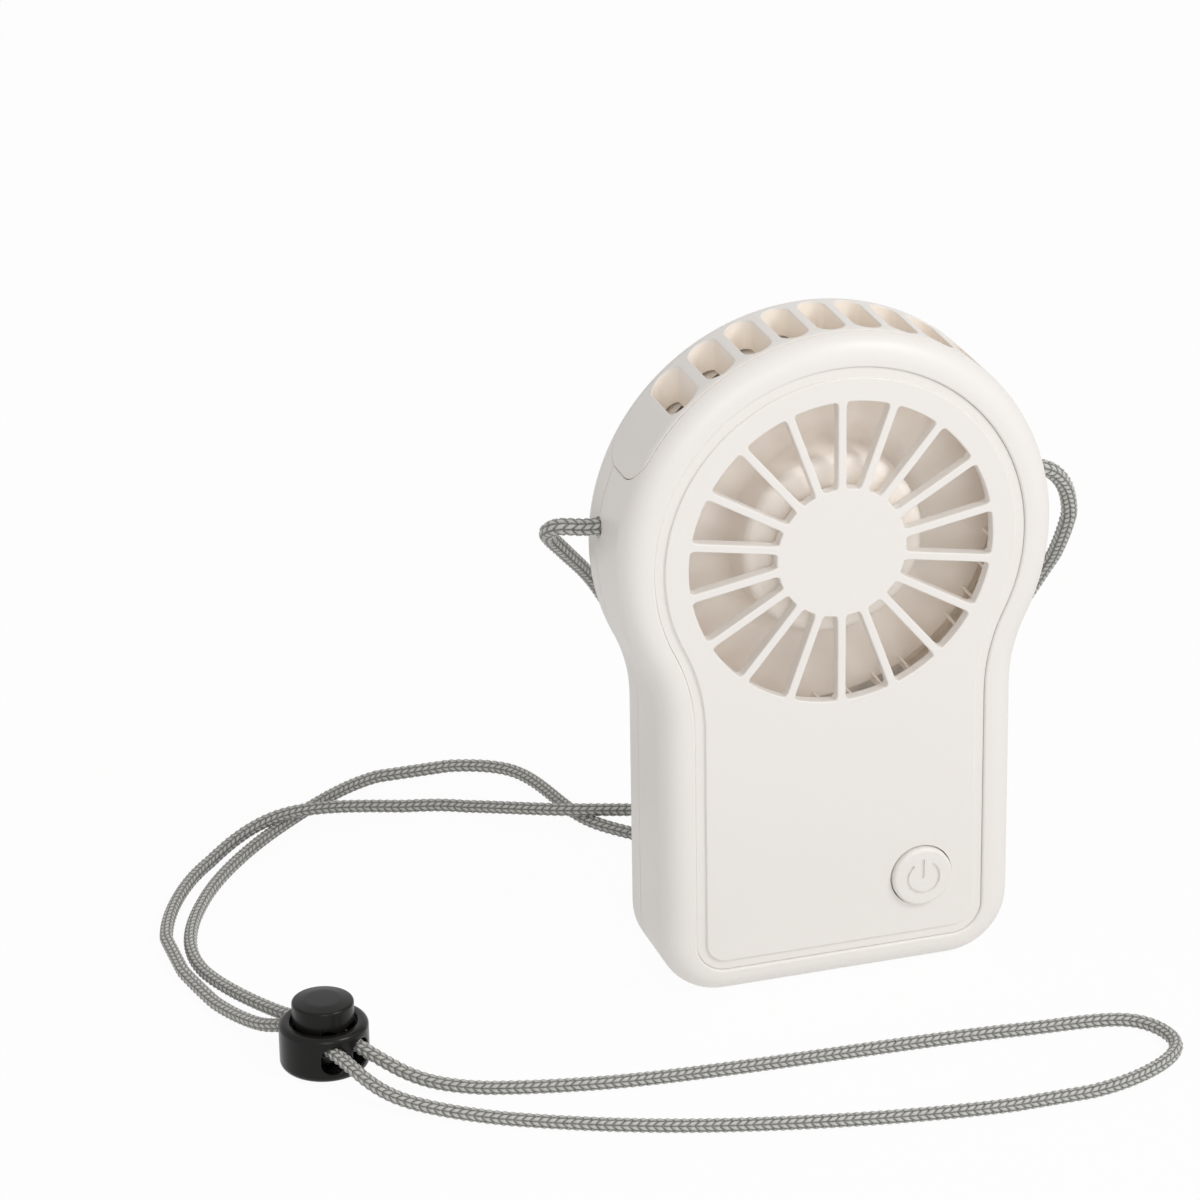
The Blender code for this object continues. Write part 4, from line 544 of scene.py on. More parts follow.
def draw_plate(name, half, near, far, corner, y=0.0, x=0.0, steps=10, far_corner=None, far_steps=None):
    """A flat face: a rectangle from -half to half and from near to far, with round corners."""
    far_corner = far_corner or corner
    far_steps = far_steps or steps
    new_vertex((x + half, y, near + corner), name)
    run(0, 0, far - near - corner - far_corner)
    swing((x + half - far_corner, y, far - far_corner), 90, far_steps)
    run(2 * (far_corner - half), 0, 0)
    swing((x - half + far_corner, y, far - far_corner), 90, far_steps)
    run(0, 0, near + corner + far_corner - far)
    swing((x - half + corner, y, near + corner), 90, steps)
    run(2 * (half - corner), 0, 0)
    swing((x + half - corner, y, near + corner), 90, steps)
    return fill()


def edge_drop(depth):
    """How far the housing's rounded edges lie below its side at a depth behind the front."""
    near = max(FRONT_FILLET - depth, 0)
    far = max(depth - (BODY_DEPTH - REAR_FILLET), 0)
    return (FRONT_FILLET - math.sqrt(FRONT_FILLET ** 2 - min(near, FRONT_FILLET) ** 2)
            + REAR_FILLET - math.sqrt(REAR_FILLET ** 2 - min(far, REAR_FILLET) ** 2))


def bend_over_head(body):
    """Cut a flat strip into narrow slices, follow the rounded edges, and bend it over the head."""
    bpy.ops.object.mode_set(mode="EDIT")
    reach = max(vertex.co.x for vertex in body.data.vertices)
    count = int(reach / BEND_CUT)
    cuts = [((k * BEND_CUT, 0, 0), (1, 0, 0)) for k in range(-count, count + 1)]
    cuts += [((0, 0, BAND_NEAR + k * EDGE_CUT), (0, 0, 1)) for k in range(1, 9)]
    for spot, normal in cuts:
        take_all()
        bpy.ops.mesh.bisect(plane_co=spot, plane_no=normal)
    bpy.ops.object.mode_set(mode="OBJECT")
    for vertex in body.data.vertices:
        vertex.co.y += edge_drop(vertex.co.z)
    only(body)
    bend = body.modifiers.new("bend", "SIMPLE_DEFORM")
    bend.deform_method = "BEND"
    bend.deform_axis = "Z"
    bend.angle = 2 * reach / HEAD_RADIUS
    bpy.ops.object.modifier_apply(modifier=bend.name)
    body.matrix_world = Matrix(((1, 0, 0, 0), (0, 0, 1, FRONT_Y),
                                (0, -1, 0, HEAD_Z + HEAD_RADIUS), (0, 0, 0, 1)))
    bpy.ops.object.transform_apply(location=True, rotation=True, scale=True)
    return body


def band_cutter():
    """What the band takes from a shell, with a small round left on the shell's edge."""
    grow = HALF_SEAM * 2 + SEAM_ROUND
    above = 2.5 * MM
    draw_plate("band_cutter", BAND_HALF + grow, BAND_NEAR - grow, BAND_FAR + grow, BAND_CORNER + grow, y=-above)
    thicken(above, 0.0)
    flare(SEAM_ROUND, 3)
    push(BLOCK_DEPTH + 0.5 * MM)
    return bend_over_head(finish_mesh())


cut(front_shell, band_cutter())

# %% Vent band
band = draw_plate("vent_band_strip", BAND_HALF, BAND_NEAR, BAND_FAR, BAND_CORNER, y=BAND_SKIN)
thicken(SEAM_ROUND - BAND_SKIN, SEAM_ROUND)
round_over(SEAM_ROUND, 3)
inset(SUPPORT)
finish_mesh()
draw_plate("vent_block", BLOCK_HALF, BAND_NEAR + 0.5 * MM, BAND_FAR - 0.5 * MM, MM, y=BLOCK_DEPTH, steps=2)
push(BAND_SKIN / 2 - BLOCK_DEPTH)
unite(band, finish_mesh())
bend_over_head(band)


def vent_slot(middle):
    """The cutter for one slot: its rounded mouth follows the head, and its walls run straight down."""
    half = VENT_HALF + VENT_ROUND
    cutter = draw_plate("slot", half, VENT_NEAR - VENT_ROUND, BODY_DEPTH - VENT_NEAR + VENT_ROUND,
                        half - 0.05 * MM, y=-MM, x=middle, steps=9)
    thicken(MM, 0.0)
    flare(VENT_ROUND, 4)
    push(VENT_BOTTOM - VENT_ROUND)
    finish_mesh()
    for vertex in cutter.data.vertices:
        across, down, depth = vertex.co
        surface = math.sqrt((HEAD_RADIUS - edge_drop(depth)) ** 2 - across ** 2)
        vertex.co = (across, FRONT_Y + depth, HEAD_Z + surface - min(down, surface - VENT_LOWEST))
    return finish_mesh()


cut(band, join([vent_slot((i - (VENTS - 1) / 2) * VENT_PITCH) for i in range(VENTS)]))

# %% [markdown]
# Round pieces are turned from a profile, as on a lathe. A profile is a short list of corners,
# each with its own rounding, so that edges are as soft as a mould leaves them.


# %% Turned and pressed shapes
def soften(corners, steps=6):
    """Replace each corner (x, y, radius) of an open profile by an arc of that radius."""
    points = [Vector(corners[0][:2])]
    for before, here, after in zip(corners, corners[1:], corners[2:]):
        spot = Vector(here[:2])
        back = (Vector(before[:2]) - spot).normalized()
        ahead = (Vector(after[:2]) - spot).normalized()
        half = back.angle(ahead) / 2
        if here[2] <= 0 or half > math.radians(89):
            points.append(spot)
            continue
        centre = spot + (back + ahead).normalized() * (here[2] / math.sin(half))
        touch = here[2] / math.tan(half)
        first = (spot + back * touch - centre).normalized()
        last = (spot + ahead * touch - centre).normalized()
        for k in range(steps + 1):
            points.append(centre + first.slerp(last, k / steps) * here[2])
    points.append(Vector(corners[-1][:2]))
    return points


def turn_profile(name, corners, centre, sides, upright=False, steps=6):
    """Spin a profile of (radius, along) corners about an axis along Y, or upright, at a centre."""
    spots = [Vector((centre[0] + p.x, centre[1], centre[2] + p.y)) if upright
             else Vector((centre[0] + p.x, centre[1] + p.y, centre[2])) for p in soften(corners, steps)]
    new_vertex(spots[0], name)
    for here, there in zip(spots, spots[1:]):
        run(*(there - here))
    take_all()
    swing(centre, 360, sides, (0, 0, 1) if upright else (0, 1, 0))
    return finish_mesh()


def sweep(name, start, step, centre, degrees, steps, depth):
    """Part of a ring: a short line from a start, swung about a centre and made thick along Y."""
    new_vertex(start, name)
    run(*step)
    take_all()
    swing(centre, degrees, steps)
    take_all()
    push(depth)
    return finish_mesh()


def turn_object(body, degrees, centre, axis="Y"):
    """Turn a finished object about an axis through a centre, and apply it."""
    turn = Matrix.Rotation(math.radians(degrees), 4, axis)
    body.matrix_world = Matrix.Translation(centre) @ turn @ Matrix.Translation(-Vector(centre))
    only(body)
    bpy.ops.object.transform_apply(location=True, rotation=True, scale=True)
    return body


def add_block(name, low, high):
    """A plain box between two corners."""
    low, high = Vector(low), Vector(high)
    bpy.ops.mesh.primitive_cube_add(size=1, location=(low + high) / 2, scale=high - low)
    bpy.ops.object.transform_apply(location=True, rotation=True, scale=True)
    bpy.context.object.name = name
    return bpy.context.object


# %% Front panel with its grille
AXLE = Vector((0, 0, HEAD_Z))
PANEL_INSET = RIM_WIDTH + 0.06 * MM
PANEL_BACK_Y = FRONT_Y + 1.7 * MM
PLATE_BACK_Y = FRONT_Y + 2.3 * MM
GROOVE_Y = FRONT_Y + 0.5 * MM
GROOVE_ROUND = 0.12 * MM
GROOVE_WIDTH = 1.89 * MM
PANEL_ROUND = 0.25 * MM
PLATE_INSET = 2.8 * MM
GRILLE_RADIUS = 30.0 * MM
DISC_RADIUS = 12.84 * MM
SPOKES = 18
SPOKE_HALF = 0.825 * MM
SPOKE_CORNER = 1.1 * MM
GRILLE_ROUND = 0.3 * MM
BUTTON_X = 16.35 * MM
BUTTON_Z = 19.4 * MM
BUTTON_HOLE = 6.2 * MM
HOLE_ROUND = 0.15 * MM
HOLE_STEPS = 4

panel = draw_outline("front_panel_skin", PANEL_BACK_Y, PANEL_INSET, RIM_DROP)
thicken(GROOVE_Y + GROOVE_ROUND - PANEL_BACK_Y, GROOVE_Y + GROOVE_ROUND)
round_over(GROOVE_ROUND, 2)
inset(GROOVE_WIDTH - GROOVE_ROUND)
push(FRONT_Y + PANEL_ROUND - GROOVE_Y)
round_over(PANEL_ROUND, 5)
inset(SUPPORT)
pick_face(PANEL_BACK_Y)
inset(PLATE_INSET)
push(PLATE_BACK_Y - PANEL_BACK_Y)
finish_mesh()


def grille_opening():
    """The cutter for one opening, drawn at the top of the grille with rounded corners."""
    side = SPOKE_HALF - GRILLE_ROUND
    tilt = math.pi / SPOKES
    along = Vector((math.sin(tilt), 0, math.cos(tilt)))
    away = Vector((-math.cos(tilt), 0, math.sin(tilt))) * side
    centre = AXLE + Vector((0, FRONT_Y - MM, 0))
    corners = [along * math.sqrt(reach ** 2 - side ** 2) + away
               for reach in (DISC_RADIUS - GRILLE_ROUND, GRILLE_RADIUS + GRILLE_ROUND)]
    mirrored = [Vector((-spot.x, 0, spot.z)) for spot in corners]
    angles = [2 * math.degrees(math.atan2(spot.x, spot.z)) for spot in corners]
    new_vertex(centre + corners[0], "grille_cutter")
    run(*(corners[1] - corners[0]))
    swing(centre, angles[1], 10)
    run(*(mirrored[0] - mirrored[1]))
    swing(centre, -angles[0], 5)
    fill()
    places = [centre + spot for spot in corners + mirrored]
    pick(lambda vertex: any((vertex.co - place).length < 0.05 * MM for place in places))
    bpy.ops.mesh.bevel(offset=SPOKE_CORNER + GRILLE_ROUND, affect="VERTICES", segments=6)
    bpy.ops.mesh.select_mode(type="FACE")
    take_all()
    thicken(MM, FRONT_Y)
    flare(GRILLE_ROUND, 4)
    push(3.5 * MM - GRILLE_ROUND)
    return finish_mesh()


openings = [turn_object(grille_opening(), (i + 0.5) * 360 / SPOKES, AXLE) for i in range(SPOKES)]
cut(panel, join(openings))
turns = [math.pi / 2 * k / HOLE_STEPS for k in range(1, HOLE_STEPS + 1)]
cut(panel, turn_profile("button_hole", [
    (0, -MM, 0), (BUTTON_HOLE + HOLE_ROUND, -MM, 0), (BUTTON_HOLE + HOLE_ROUND, 0, 0),
    *[(BUTTON_HOLE + HOLE_ROUND * (1 - math.sin(turn)), HOLE_ROUND * (1 - math.cos(turn)), 0)
      for turn in turns],
    (BUTTON_HOLE, 4.0 * MM, 0), (0, 4.0 * MM, 0)], (BUTTON_X, FRONT_Y, BUTTON_Z), 72))

# %% Power button
BUTTON_RADIUS = 6.0 * MM
BUTTON_TOP = -1.2 * MM
FLANGE_RADIUS = 7.2 * MM
FLANGE_FRONT = 2.6 * MM
FLANGE_BACK = 3.3 * MM
SYMBOL_RADIUS = 3.2 * MM
SYMBOL_GAP_DEGREES = 72
SYMBOL_HALF = 0.27 * MM
SYMBOL_DEPTH = 0.45 * MM
BAR_LENGTH = 4.0 * MM
BUTTON_CENTRE = Vector((BUTTON_X, FRONT_Y, BUTTON_Z))

button = turn_profile("power_button_cap", [
    (0, BUTTON_TOP, 0), (BUTTON_RADIUS, BUTTON_TOP, 0.75 * MM), (BUTTON_RADIUS, FLANGE_FRONT, 0.1 * MM),
    (FLANGE_RADIUS, FLANGE_FRONT, 0), (FLANGE_RADIUS, FLANGE_BACK, 0), (0, FLANGE_BACK, 0)], BUTTON_CENTRE, 96)
ring = sweep("ring_cutter", BUTTON_CENTRE + Vector((0, BUTTON_TOP - MM, SYMBOL_RADIUS - SYMBOL_HALF)),
             (0, 0, 2 * SYMBOL_HALF), BUTTON_CENTRE, 360 - SYMBOL_GAP_DEGREES, 40, MM + SYMBOL_DEPTH)
cut(button, turn_object(ring, -SYMBOL_GAP_DEGREES / 2, BUTTON_CENTRE))
bar_high = SYMBOL_RADIUS + SYMBOL_HALF + 0.3 * MM
draw_plate("bar_cutter", SYMBOL_HALF, BUTTON_Z + bar_high - BAR_LENGTH, BUTTON_Z + bar_high, SYMBOL_HALF * 0.9,
           y=FRONT_Y + BUTTON_TOP - MM, x=BUTTON_X, steps=4)
push(MM + SYMBOL_DEPTH)
cut(button, finish_mesh())

# %% Rear shell
INNER_BACK_Y = BACK_Y - WALL
BOSS_HEIGHT = 4.5 * MM
BOSS_RADIUS = 17.4 * MM
BOSS_TOP = 12.8 * MM
MOTOR_WELL = 12.5 * MM
CHANNEL_DEGREES = 251.5
CHANNEL_HALF = 2.7 * MM
CHANNEL_RISE = 2.2 * MM
CHANNEL_SUNK = 1.5 * MM
CHANNEL_ROUND = 0.8 * MM
DOOR_HALF = 28.0 * MM
DOOR_LOW = 4.7 * MM
DOOR_HIGH = 44.5 * MM
DOOR_LOW_CORNER = 5.5 * MM
DOOR_TOP_CORNER = 2.5 * MM
DOOR_GAP = 0.2 * MM
DOOR_ROUND = 0.15 * MM
BAY_HALF = 26.7 * MM
BAY_LOW = 8.0 * MM
BAY_HIGH = 42.9 * MM
BAY_WALL = 1.2 * MM
BAY_FLOOR_Y = FRONT_Y + 10.9 * MM
BAY_SUNK = 0.6 * MM
SCROLL_RADIUS = 38.0 * MM
SCROLL_WALL = 1.2 * MM
SCROLL_HALF_DEGREES = 63
STEP_INNER = 36.5 * MM
STEP_OUTER = 38.55 * MM
STEP_FRONT = 17.5 * MM
STEP_BACK = 22.5 * MM
THUMB_HALF = 4.1 * MM
THUMB_LOW = DOOR_HIGH - 3.0 * MM
THUMB_DEPTH = 3.2 * MM
THUMB_ROUND = 0.5 * MM
POCKET_HALF = 5.3 * MM
POCKET_Y = BACK_Y - 4.4 * MM
WELL_DEPTH = 13.2 * MM
REAR_EDGE_Y = PARTING_Y + HALF_SEAM + SEAM_ROUND
HEAD_FRONT = AXLE + Vector((0, FRONT_Y, 0))


def draw_door_outline(name, grow, y):
    """The battery door's outline: small corners at the top and large ones at the bottom."""
    draw_plate(name, DOOR_HALF + grow, DOOR_LOW - grow, DOOR_HIGH + grow, DOOR_LOW_CORNER + grow, y=y,
               far_corner=DOOR_TOP_CORNER + grow, far_steps=8)


rear_shell = draw_outline("rear_shell_skin", REAR_EDGE_Y)
thicken(BACK_Y - REAR_FILLET - REAR_EDGE_Y, BACK_Y - REAR_FILLET)
round_over(REAR_FILLET, 10)
inset(SUPPORT)
pick_face(REAR_EDGE_Y)
round_over(SEAM_ROUND, 2)
inset(WALL - SEAM_ROUND)
push(INNER_BACK_Y - PARTING_Y - HALF_SEAM)
finish_mesh()
unite(rear_shell, turn_profile("boss", [
    (0, -0.9 * MM, 0), (20.0 * MM, -0.9 * MM, 0), (20.0 * MM, -0.02 * MM, 0), (18.0 * MM, 0, 2.2 * MM),
    (BOSS_RADIUS - 0.6 * MM, 0.9 * MM, 0.8 * MM), (BOSS_TOP + 0.5 * MM, BOSS_HEIGHT, 1.0 * MM),
    (0, BOSS_HEIGHT, 0)], AXLE + Vector((0, BACK_Y, 0)), 128))
draw_plate("channel", 13.3 * MM, HEAD_Z - CHANNEL_HALF, HEAD_Z + CHANNEL_HALF, 0.9 * MM,
           y=BACK_Y - CHANNEL_SUNK, x=27.3 * MM, steps=5)
thicken(CHANNEL_RISE + CHANNEL_SUNK - CHANNEL_ROUND, BACK_Y + CHANNEL_RISE - CHANNEL_ROUND)
round_over(CHANNEL_ROUND, 5)
unite(rear_shell, turn_object(finish_mesh(), -CHANNEL_DEGREES, AXLE))
draw_door_outline("bay", BAY_WALL, BACK_Y - BAY_SUNK)
push(BAY_FLOOR_Y - BAY_WALL - BACK_Y + BAY_SUNK)
unite(rear_shell, finish_mesh())
scroll_front = LEDGE_BACK_Y + 0.3 * MM
scroll = sweep("scroll", AXLE + Vector((0, scroll_front, -SCROLL_RADIUS)), (0, 0, -SCROLL_WALL), AXLE,
               2 * SCROLL_HALF_DEGREES, 42, INNER_BACK_Y + 0.5 * MM - scroll_front)
unite(rear_shell, turn_object(scroll, SCROLL_HALF_DEGREES, AXLE))
unite(rear_shell, turn_profile("chamber_step", [
    (STEP_INNER, STEP_BACK, 0), (STEP_INNER, STEP_FRONT, 0.2 * MM), (STEP_OUTER, STEP_FRONT, 0),
    (STEP_OUTER, STEP_BACK, 0), (STEP_INNER, STEP_BACK, 0)], HEAD_FRONT, 128))
draw_plate("pocket", POCKET_HALF, THUMB_LOW, DOOR_HIGH + 8.8 * MM, POCKET_HALF - 0.05 * MM, y=POCKET_Y)
push(INNER_BACK_Y + 0.7 * MM - POCKET_Y)
unite(rear_shell, finish_mesh())
cut(rear_shell, add_block("cavity", (-BAY_HALF, BAY_FLOOR_Y, BAY_LOW), (BAY_HALF, BACK_Y + MM, BAY_HIGH)))
draw_door_outline("door_opening", DOOR_GAP + DOOR_ROUND, BACK_Y + MM)
thicken(-MM, BACK_Y)
flare(DOOR_ROUND, 3)
push(DOOR_ROUND - (WALL + 0.3 * MM))
cut(rear_shell, finish_mesh())
cut(rear_shell, add_block("pit", (-5.75 * MM, BACK_Y - 2.1 * MM, DOOR_HIGH - MM),
                          (5.75 * MM, BACK_Y + MM, DOOR_HIGH + 3.0 * MM)))
draw_plate("thumb", THUMB_HALF, THUMB_LOW, DOOR_HIGH + 7.6 * MM, THUMB_HALF - 0.05 * MM, y=BACK_Y + MM)
thicken(-MM, BACK_Y)
flare(THUMB_ROUND, 5)
push(THUMB_ROUND - THUMB_DEPTH)
cut(rear_shell, finish_mesh())
cut(rear_shell, turn_profile("well", [
    (0, 0, 0), (MOTOR_WELL, 0, 0), (MOTOR_WELL, WELL_DEPTH, 0), (0, WELL_DEPTH, 0)],
    AXLE + Vector((0, FRONT_Y + 13.8 * MM, 0)), 64))
bore = add_block("bore", (10.0 * MM, BACK_Y - 2.0 * MM, HEAD_Z - 1.5 * MM),
                 (39.0 * MM, BACK_Y + 0.9 * MM, HEAD_Z + 1.5 * MM))
cut(rear_shell, turn_object(bore, -CHANNEL_DEGREES, AXLE))
cut(rear_shell, band_cutter())

# %% Holes for the cord
CORD_HOLE = 1.75 * MM
CORD_HOLE_ROUND = 0.5 * MM
CORD_HOLE_Z = HEAD_Z + 5.4 * MM
DRILL_START = 36.0 * MM
DRILL_MOUTH = HEAD_RADIUS - 0.34 * MM
DRILL_END = DRILL_MOUTH + 2.0 * MM
DRILL_STEPS = 5

turns = [math.pi / 2 * k / DRILL_STEPS for k in range(1, DRILL_STEPS + 1)]
profile = [
    (0, DRILL_START, 0), (CORD_HOLE, DRILL_START, 0), (CORD_HOLE, DRILL_MOUTH - CORD_HOLE_ROUND, 0),
    *[(CORD_HOLE + CORD_HOLE_ROUND * (1 - math.cos(turn)),
       DRILL_MOUTH - CORD_HOLE_ROUND * (1 - math.sin(turn)), 0) for turn in turns],
    (CORD_HOLE + CORD_HOLE_ROUND, DRILL_END, 0), (0, DRILL_END, 0)]
for shell in (front_shell, rear_shell):
    for side in (-1, 1):
        drill = turn_profile("drill", profile, (0, PARTING_Y, 0), 48, upright=True)
        sideways = Matrix.Rotation(side * math.pi / 2, 4, "Y")
        drill.matrix_world = Matrix.Translation((0, 0, CORD_HOLE_Z)) @ sideways
        cut(shell, drill)
close_slivers(rear_shell)

# %% Impeller
DRUM_RADIUS = 18.3 * MM
DRUM_WALL = 1.5 * MM
DRUM_FRONT = 4.1 * MM
BORE_RADIUS = 1.05 * MM
SLEEVE_RADIUS = 3.2 * MM
SLEEVE_BACK = 12.6 * MM
IMPELLER_RADIUS = 36.2 * MM
BASE_FRONT = 15.9 * MM
BASE_BACK = 17.1 * MM
SHROUD_INNER = 34.1 * MM
SHROUD_FRONT = 6.0 * MM
SHROUD_BACK = 6.8 * MM
BLADES = 36
BLADE_INNER = 34.9 * MM
BLADE_Y = FRONT_Y + 6.6 * MM

impeller = turn_profile("impeller_wheel", [
    (0, DRUM_FRONT, 0), (DRUM_RADIUS - 0.6 * MM, DRUM_FRONT, 2.2 * MM),
    (DRUM_RADIUS + 0.4 * MM, BASE_FRONT, 4.5 * MM), (IMPELLER_RADIUS, BASE_FRONT, 0.2 * MM),
    (IMPELLER_RADIUS, BASE_BACK, 0.2 * MM), (DRUM_RADIUS - DRUM_WALL, BASE_BACK, 0),
    (DRUM_RADIUS - DRUM_WALL, 5.9 * MM, 1.0 * MM), (SLEEVE_RADIUS, 5.9 * MM, 0),
    (SLEEVE_RADIUS, SLEEVE_BACK, 0), (BORE_RADIUS, SLEEVE_BACK, 0), (BORE_RADIUS, 6.9 * MM, 0),
    (0, 6.9 * MM, 0)], HEAD_FRONT, 120)
shroud = turn_profile("shroud", [
    (SHROUD_INNER, SHROUD_BACK, 0), (SHROUD_INNER, SHROUD_FRONT, 0.2 * MM),
    (IMPELLER_RADIUS, SHROUD_FRONT, 0.2 * MM), (IMPELLER_RADIUS, SHROUD_BACK, 0),
    (SHROUD_INNER, SHROUD_BACK, 0)], HEAD_FRONT, 120)
blades = []
for i in range(BLADES):
    blade = sweep("blade", AXLE + Vector((-0.25 * MM, BLADE_Y, BLADE_INNER)), (0.5 * MM, 0, 0),
                  AXLE + Vector((3.0 * MM, BLADE_Y, BLADE_INNER)), -33, 4, 9.5 * MM)
    blades.append(turn_object(blade, i * 360 / BLADES, AXLE))
impeller = join([impeller, shroud] + blades)

# %% Battery door
DOOR_THICKNESS = 1.8 * MM
DOOR_FRONT_Y = BACK_Y - DOOR_THICKNESS
DOOR_FILLET = 0.25 * MM
EDGE_ROUND = 0.9 * MM
TONGUE_HALF = 3.2 * MM
TONGUE_Y = DOOR_FRONT_Y + 0.03 * MM
TAB_X = 14.0 * MM
TAB_HALF = 3.5 * MM
ROOT_HALF = 3.45 * MM

draw_door_outline("battery_door_skin", 0.0, DOOR_FRONT_Y)
thicken(DOOR_THICKNESS - DOOR_FILLET, BACK_Y - DOOR_FILLET)
round_over(DOOR_FILLET, 4)
inset(SUPPORT)
door = finish_mesh()
new_vertex((-DOOR_HALF - MM, BACK_Y, DOOR_LOW + EDGE_ROUND), "edge_trim")
arc = [(math.cos(math.radians(a)), math.sin(math.radians(a))) for a in range(0, -181, -15)]
for here, there in zip(arc, arc[1:]):
    run(0, (there[0] - here[0]) * EDGE_ROUND, (there[1] - here[1]) * EDGE_ROUND)
run(0, -MM, 0)
run(0, 0, -2.0 * MM)
run(0, 3.8 * MM, 0)
run(0, 0, 2.0 * MM)
fill()
run(2 * DOOR_HALF + 2 * MM, 0, 0)
cut(door, finish_mesh())
tongue = add_block("tongue", (-TONGUE_HALF, TONGUE_Y, DOOR_HIGH - MM),
                   (TONGUE_HALF, DOOR_FRONT_Y + 1.1 * MM, DOOR_HIGH + 4.0 * MM))
unite(tongue, add_block("lip", (-TONGUE_HALF, TONGUE_Y, DOOR_HIGH + 3.0 * MM),
                        (TONGUE_HALF, BACK_Y - 0.5 * MM, DOOR_HIGH + 4.3 * MM)))
only(tongue)
soft = tongue.modifiers.new("soft", "BEVEL")
soft.width = 0.2 * MM
soft.segments = 3
bpy.ops.object.modifier_apply(modifier=soft.name)
unite(door, tongue)
for side in (-1, 1):
    tab = add_block("tab", (side * TAB_X - TAB_HALF, FRONT_Y + 20.7 * MM, 3.4 * MM),
                    (side * TAB_X + TAB_HALF, FRONT_Y + 21.9 * MM, 7.4 * MM))
    unite(tab, add_block("root", (side * TAB_X - ROOT_HALF, FRONT_Y + 21.5 * MM, 5.65 * MM),
                         (side * TAB_X + ROOT_HALF, DOOR_FRONT_Y + 0.4 * MM, 7.35 * MM)))
    unite(door, tab)
close_slivers(door)

# %% [markdown]
# The cord lock is a turned barrel with a spring plunger. Two oval holes go through both, and
# their mouths are rounded where the strands would rub.

# %% Cord lock
LOCK_CENTRE = Vector((-102.9, -14.4, 0)) * MM
LOCK_DEGREES = 20.0
LOCK_RADIUS = 8.45 * MM
LOCK_HEIGHT = 9.3 * MM
LOCK_BORE = 6.2 * MM
FLOOR_TOP = 1.0 * MM
PLUNGER_RADIUS = 5.85 * MM
PLUNGER_LOW = 2.9 * MM
PLUNGER_SEAT = 3.8 * MM
PLUNGER_TOP = 13.8 * MM
STRAND_OFFSET = 2.6 * MM
STRAND_HALF = 1.75 * MM
MOUTH_OFFSET = 3.0 * MM
MOUTH_HALF = 2.1 * MM
MOUTH_ROUND = 0.45 * MM


def strand_hole(x, half, low, high, radius, back):
    """The cutter for one mouth of a strand hole; its rounded mouth follows the turned wall."""
    grown = half + MOUTH_ROUND
    cutter = draw_plate("strand_hole", grown, low - MOUTH_ROUND, high + MOUTH_ROUND, grown - 0.1 * MM,
                        y=-2.0 * MM, x=x, steps=8)
    thicken(2.0 * MM, 0.0)
    flare(MOUTH_ROUND, 5)
    push(radius + 0.5 * MM - MOUTH_ROUND)
    finish_mesh()
    for vertex in cutter.data.vertices:
        if vertex.co.y < radius * 0.5:
            vertex.co.y += radius - math.sqrt(max(radius ** 2 - vertex.co.x ** 2, 0))
        vertex.co.y -= radius
    turn_object(cutter, LOCK_DEGREES + (180 if back else 0), (0, 0, 0), "Z")
    cutter.location = LOCK_CENTRE
    return cutter


barrel = turn_profile("cord_lock_barrel_skin", [
    (0, 0, 0), (LOCK_RADIUS, 0, 1.5 * MM), (LOCK_RADIUS, LOCK_HEIGHT, 1.2 * MM),
    (LOCK_BORE, LOCK_HEIGHT, 0.55 * MM), (LOCK_BORE, FLOOR_TOP, 0), (0, FLOOR_TOP, 0)],
    LOCK_CENTRE, 128, upright=True, steps=8)
plunger = turn_profile("cord_lock_plunger_skin", [
    (0, PLUNGER_SEAT, 0), (4.0 * MM, PLUNGER_SEAT, 0), (4.0 * MM, PLUNGER_LOW, 0),
    (PLUNGER_RADIUS, PLUNGER_LOW, 0.2 * MM), (PLUNGER_RADIUS, PLUNGER_TOP - 0.45 * MM, 0.6 * MM),
    (3.4 * MM, PLUNGER_TOP - 0.06 * MM, 6.0 * MM), (0, PLUNGER_TOP, 0)],
    LOCK_CENTRE, 128, upright=True, steps=8)
for side in (-1, 1):
    for back in (False, True):
        cut(barrel, strand_hole(side * MOUTH_OFFSET, MOUTH_HALF, 1.95 * MM, 7.25 * MM, LOCK_RADIUS, back))
        cut(plunger, strand_hole(side * STRAND_OFFSET, STRAND_HALF, 4.5 * MM, 9.35 * MM, PLUNGER_RADIUS, back))

# %% Every piece in its place
dress(front_shell, "front_shell", "housing")
dress(panel, "front_panel", "housing")
dress(rear_shell, "rear_shell", "housing")
dress(band, "vent_band", "housing")
dress(button, "power_button", "button")
dress(impeller, "impeller", "rotor")
dress(door, "battery_door", "door")
dress(barrel, "cord_lock_barrel", "housing")
dress(plunger, "cord_lock_plunger", "lock_plunger")

# %% [markdown]
# Each finish is a small node tree in object coordinates. The white is a warm ABS with a fine
# moulded grain; the black of the lock is glossier. The inside of the head is painted a brighter,
# warmer white, as painted light shining through the thin walls. The cord's colour is painted shade
# in the grooves of its braid and a painted highlight in the middle of each stitch.


# %% Finishes
def start_material(name, colour, roughness, metallic=0.0):
    """A material with its node tree and its main shader."""
    finish = bpy.data.materials.new(name)
    finish.use_nodes = True
    shader = finish.node_tree.nodes["Principled BSDF"]
    shader.inputs["Base Color"].default_value = (*colour, 1)
    shader.inputs["Roughness"].default_value = roughness
    shader.inputs["Metallic"].default_value = metallic
    return finish, finish.node_tree, shader


def add_noise(tree, scale, detail):
    """Noise in object coordinates; a larger scale makes finer grain."""
    place = tree.nodes.new("ShaderNodeTexCoord")
    noise = tree.nodes.new("ShaderNodeTexNoise")
    noise.inputs["Scale"].default_value = scale
    noise.inputs["Detail"].default_value = detail
    tree.links.new(place.outputs["Object"], noise.inputs["Vector"])
    return noise.outputs["Fac"]


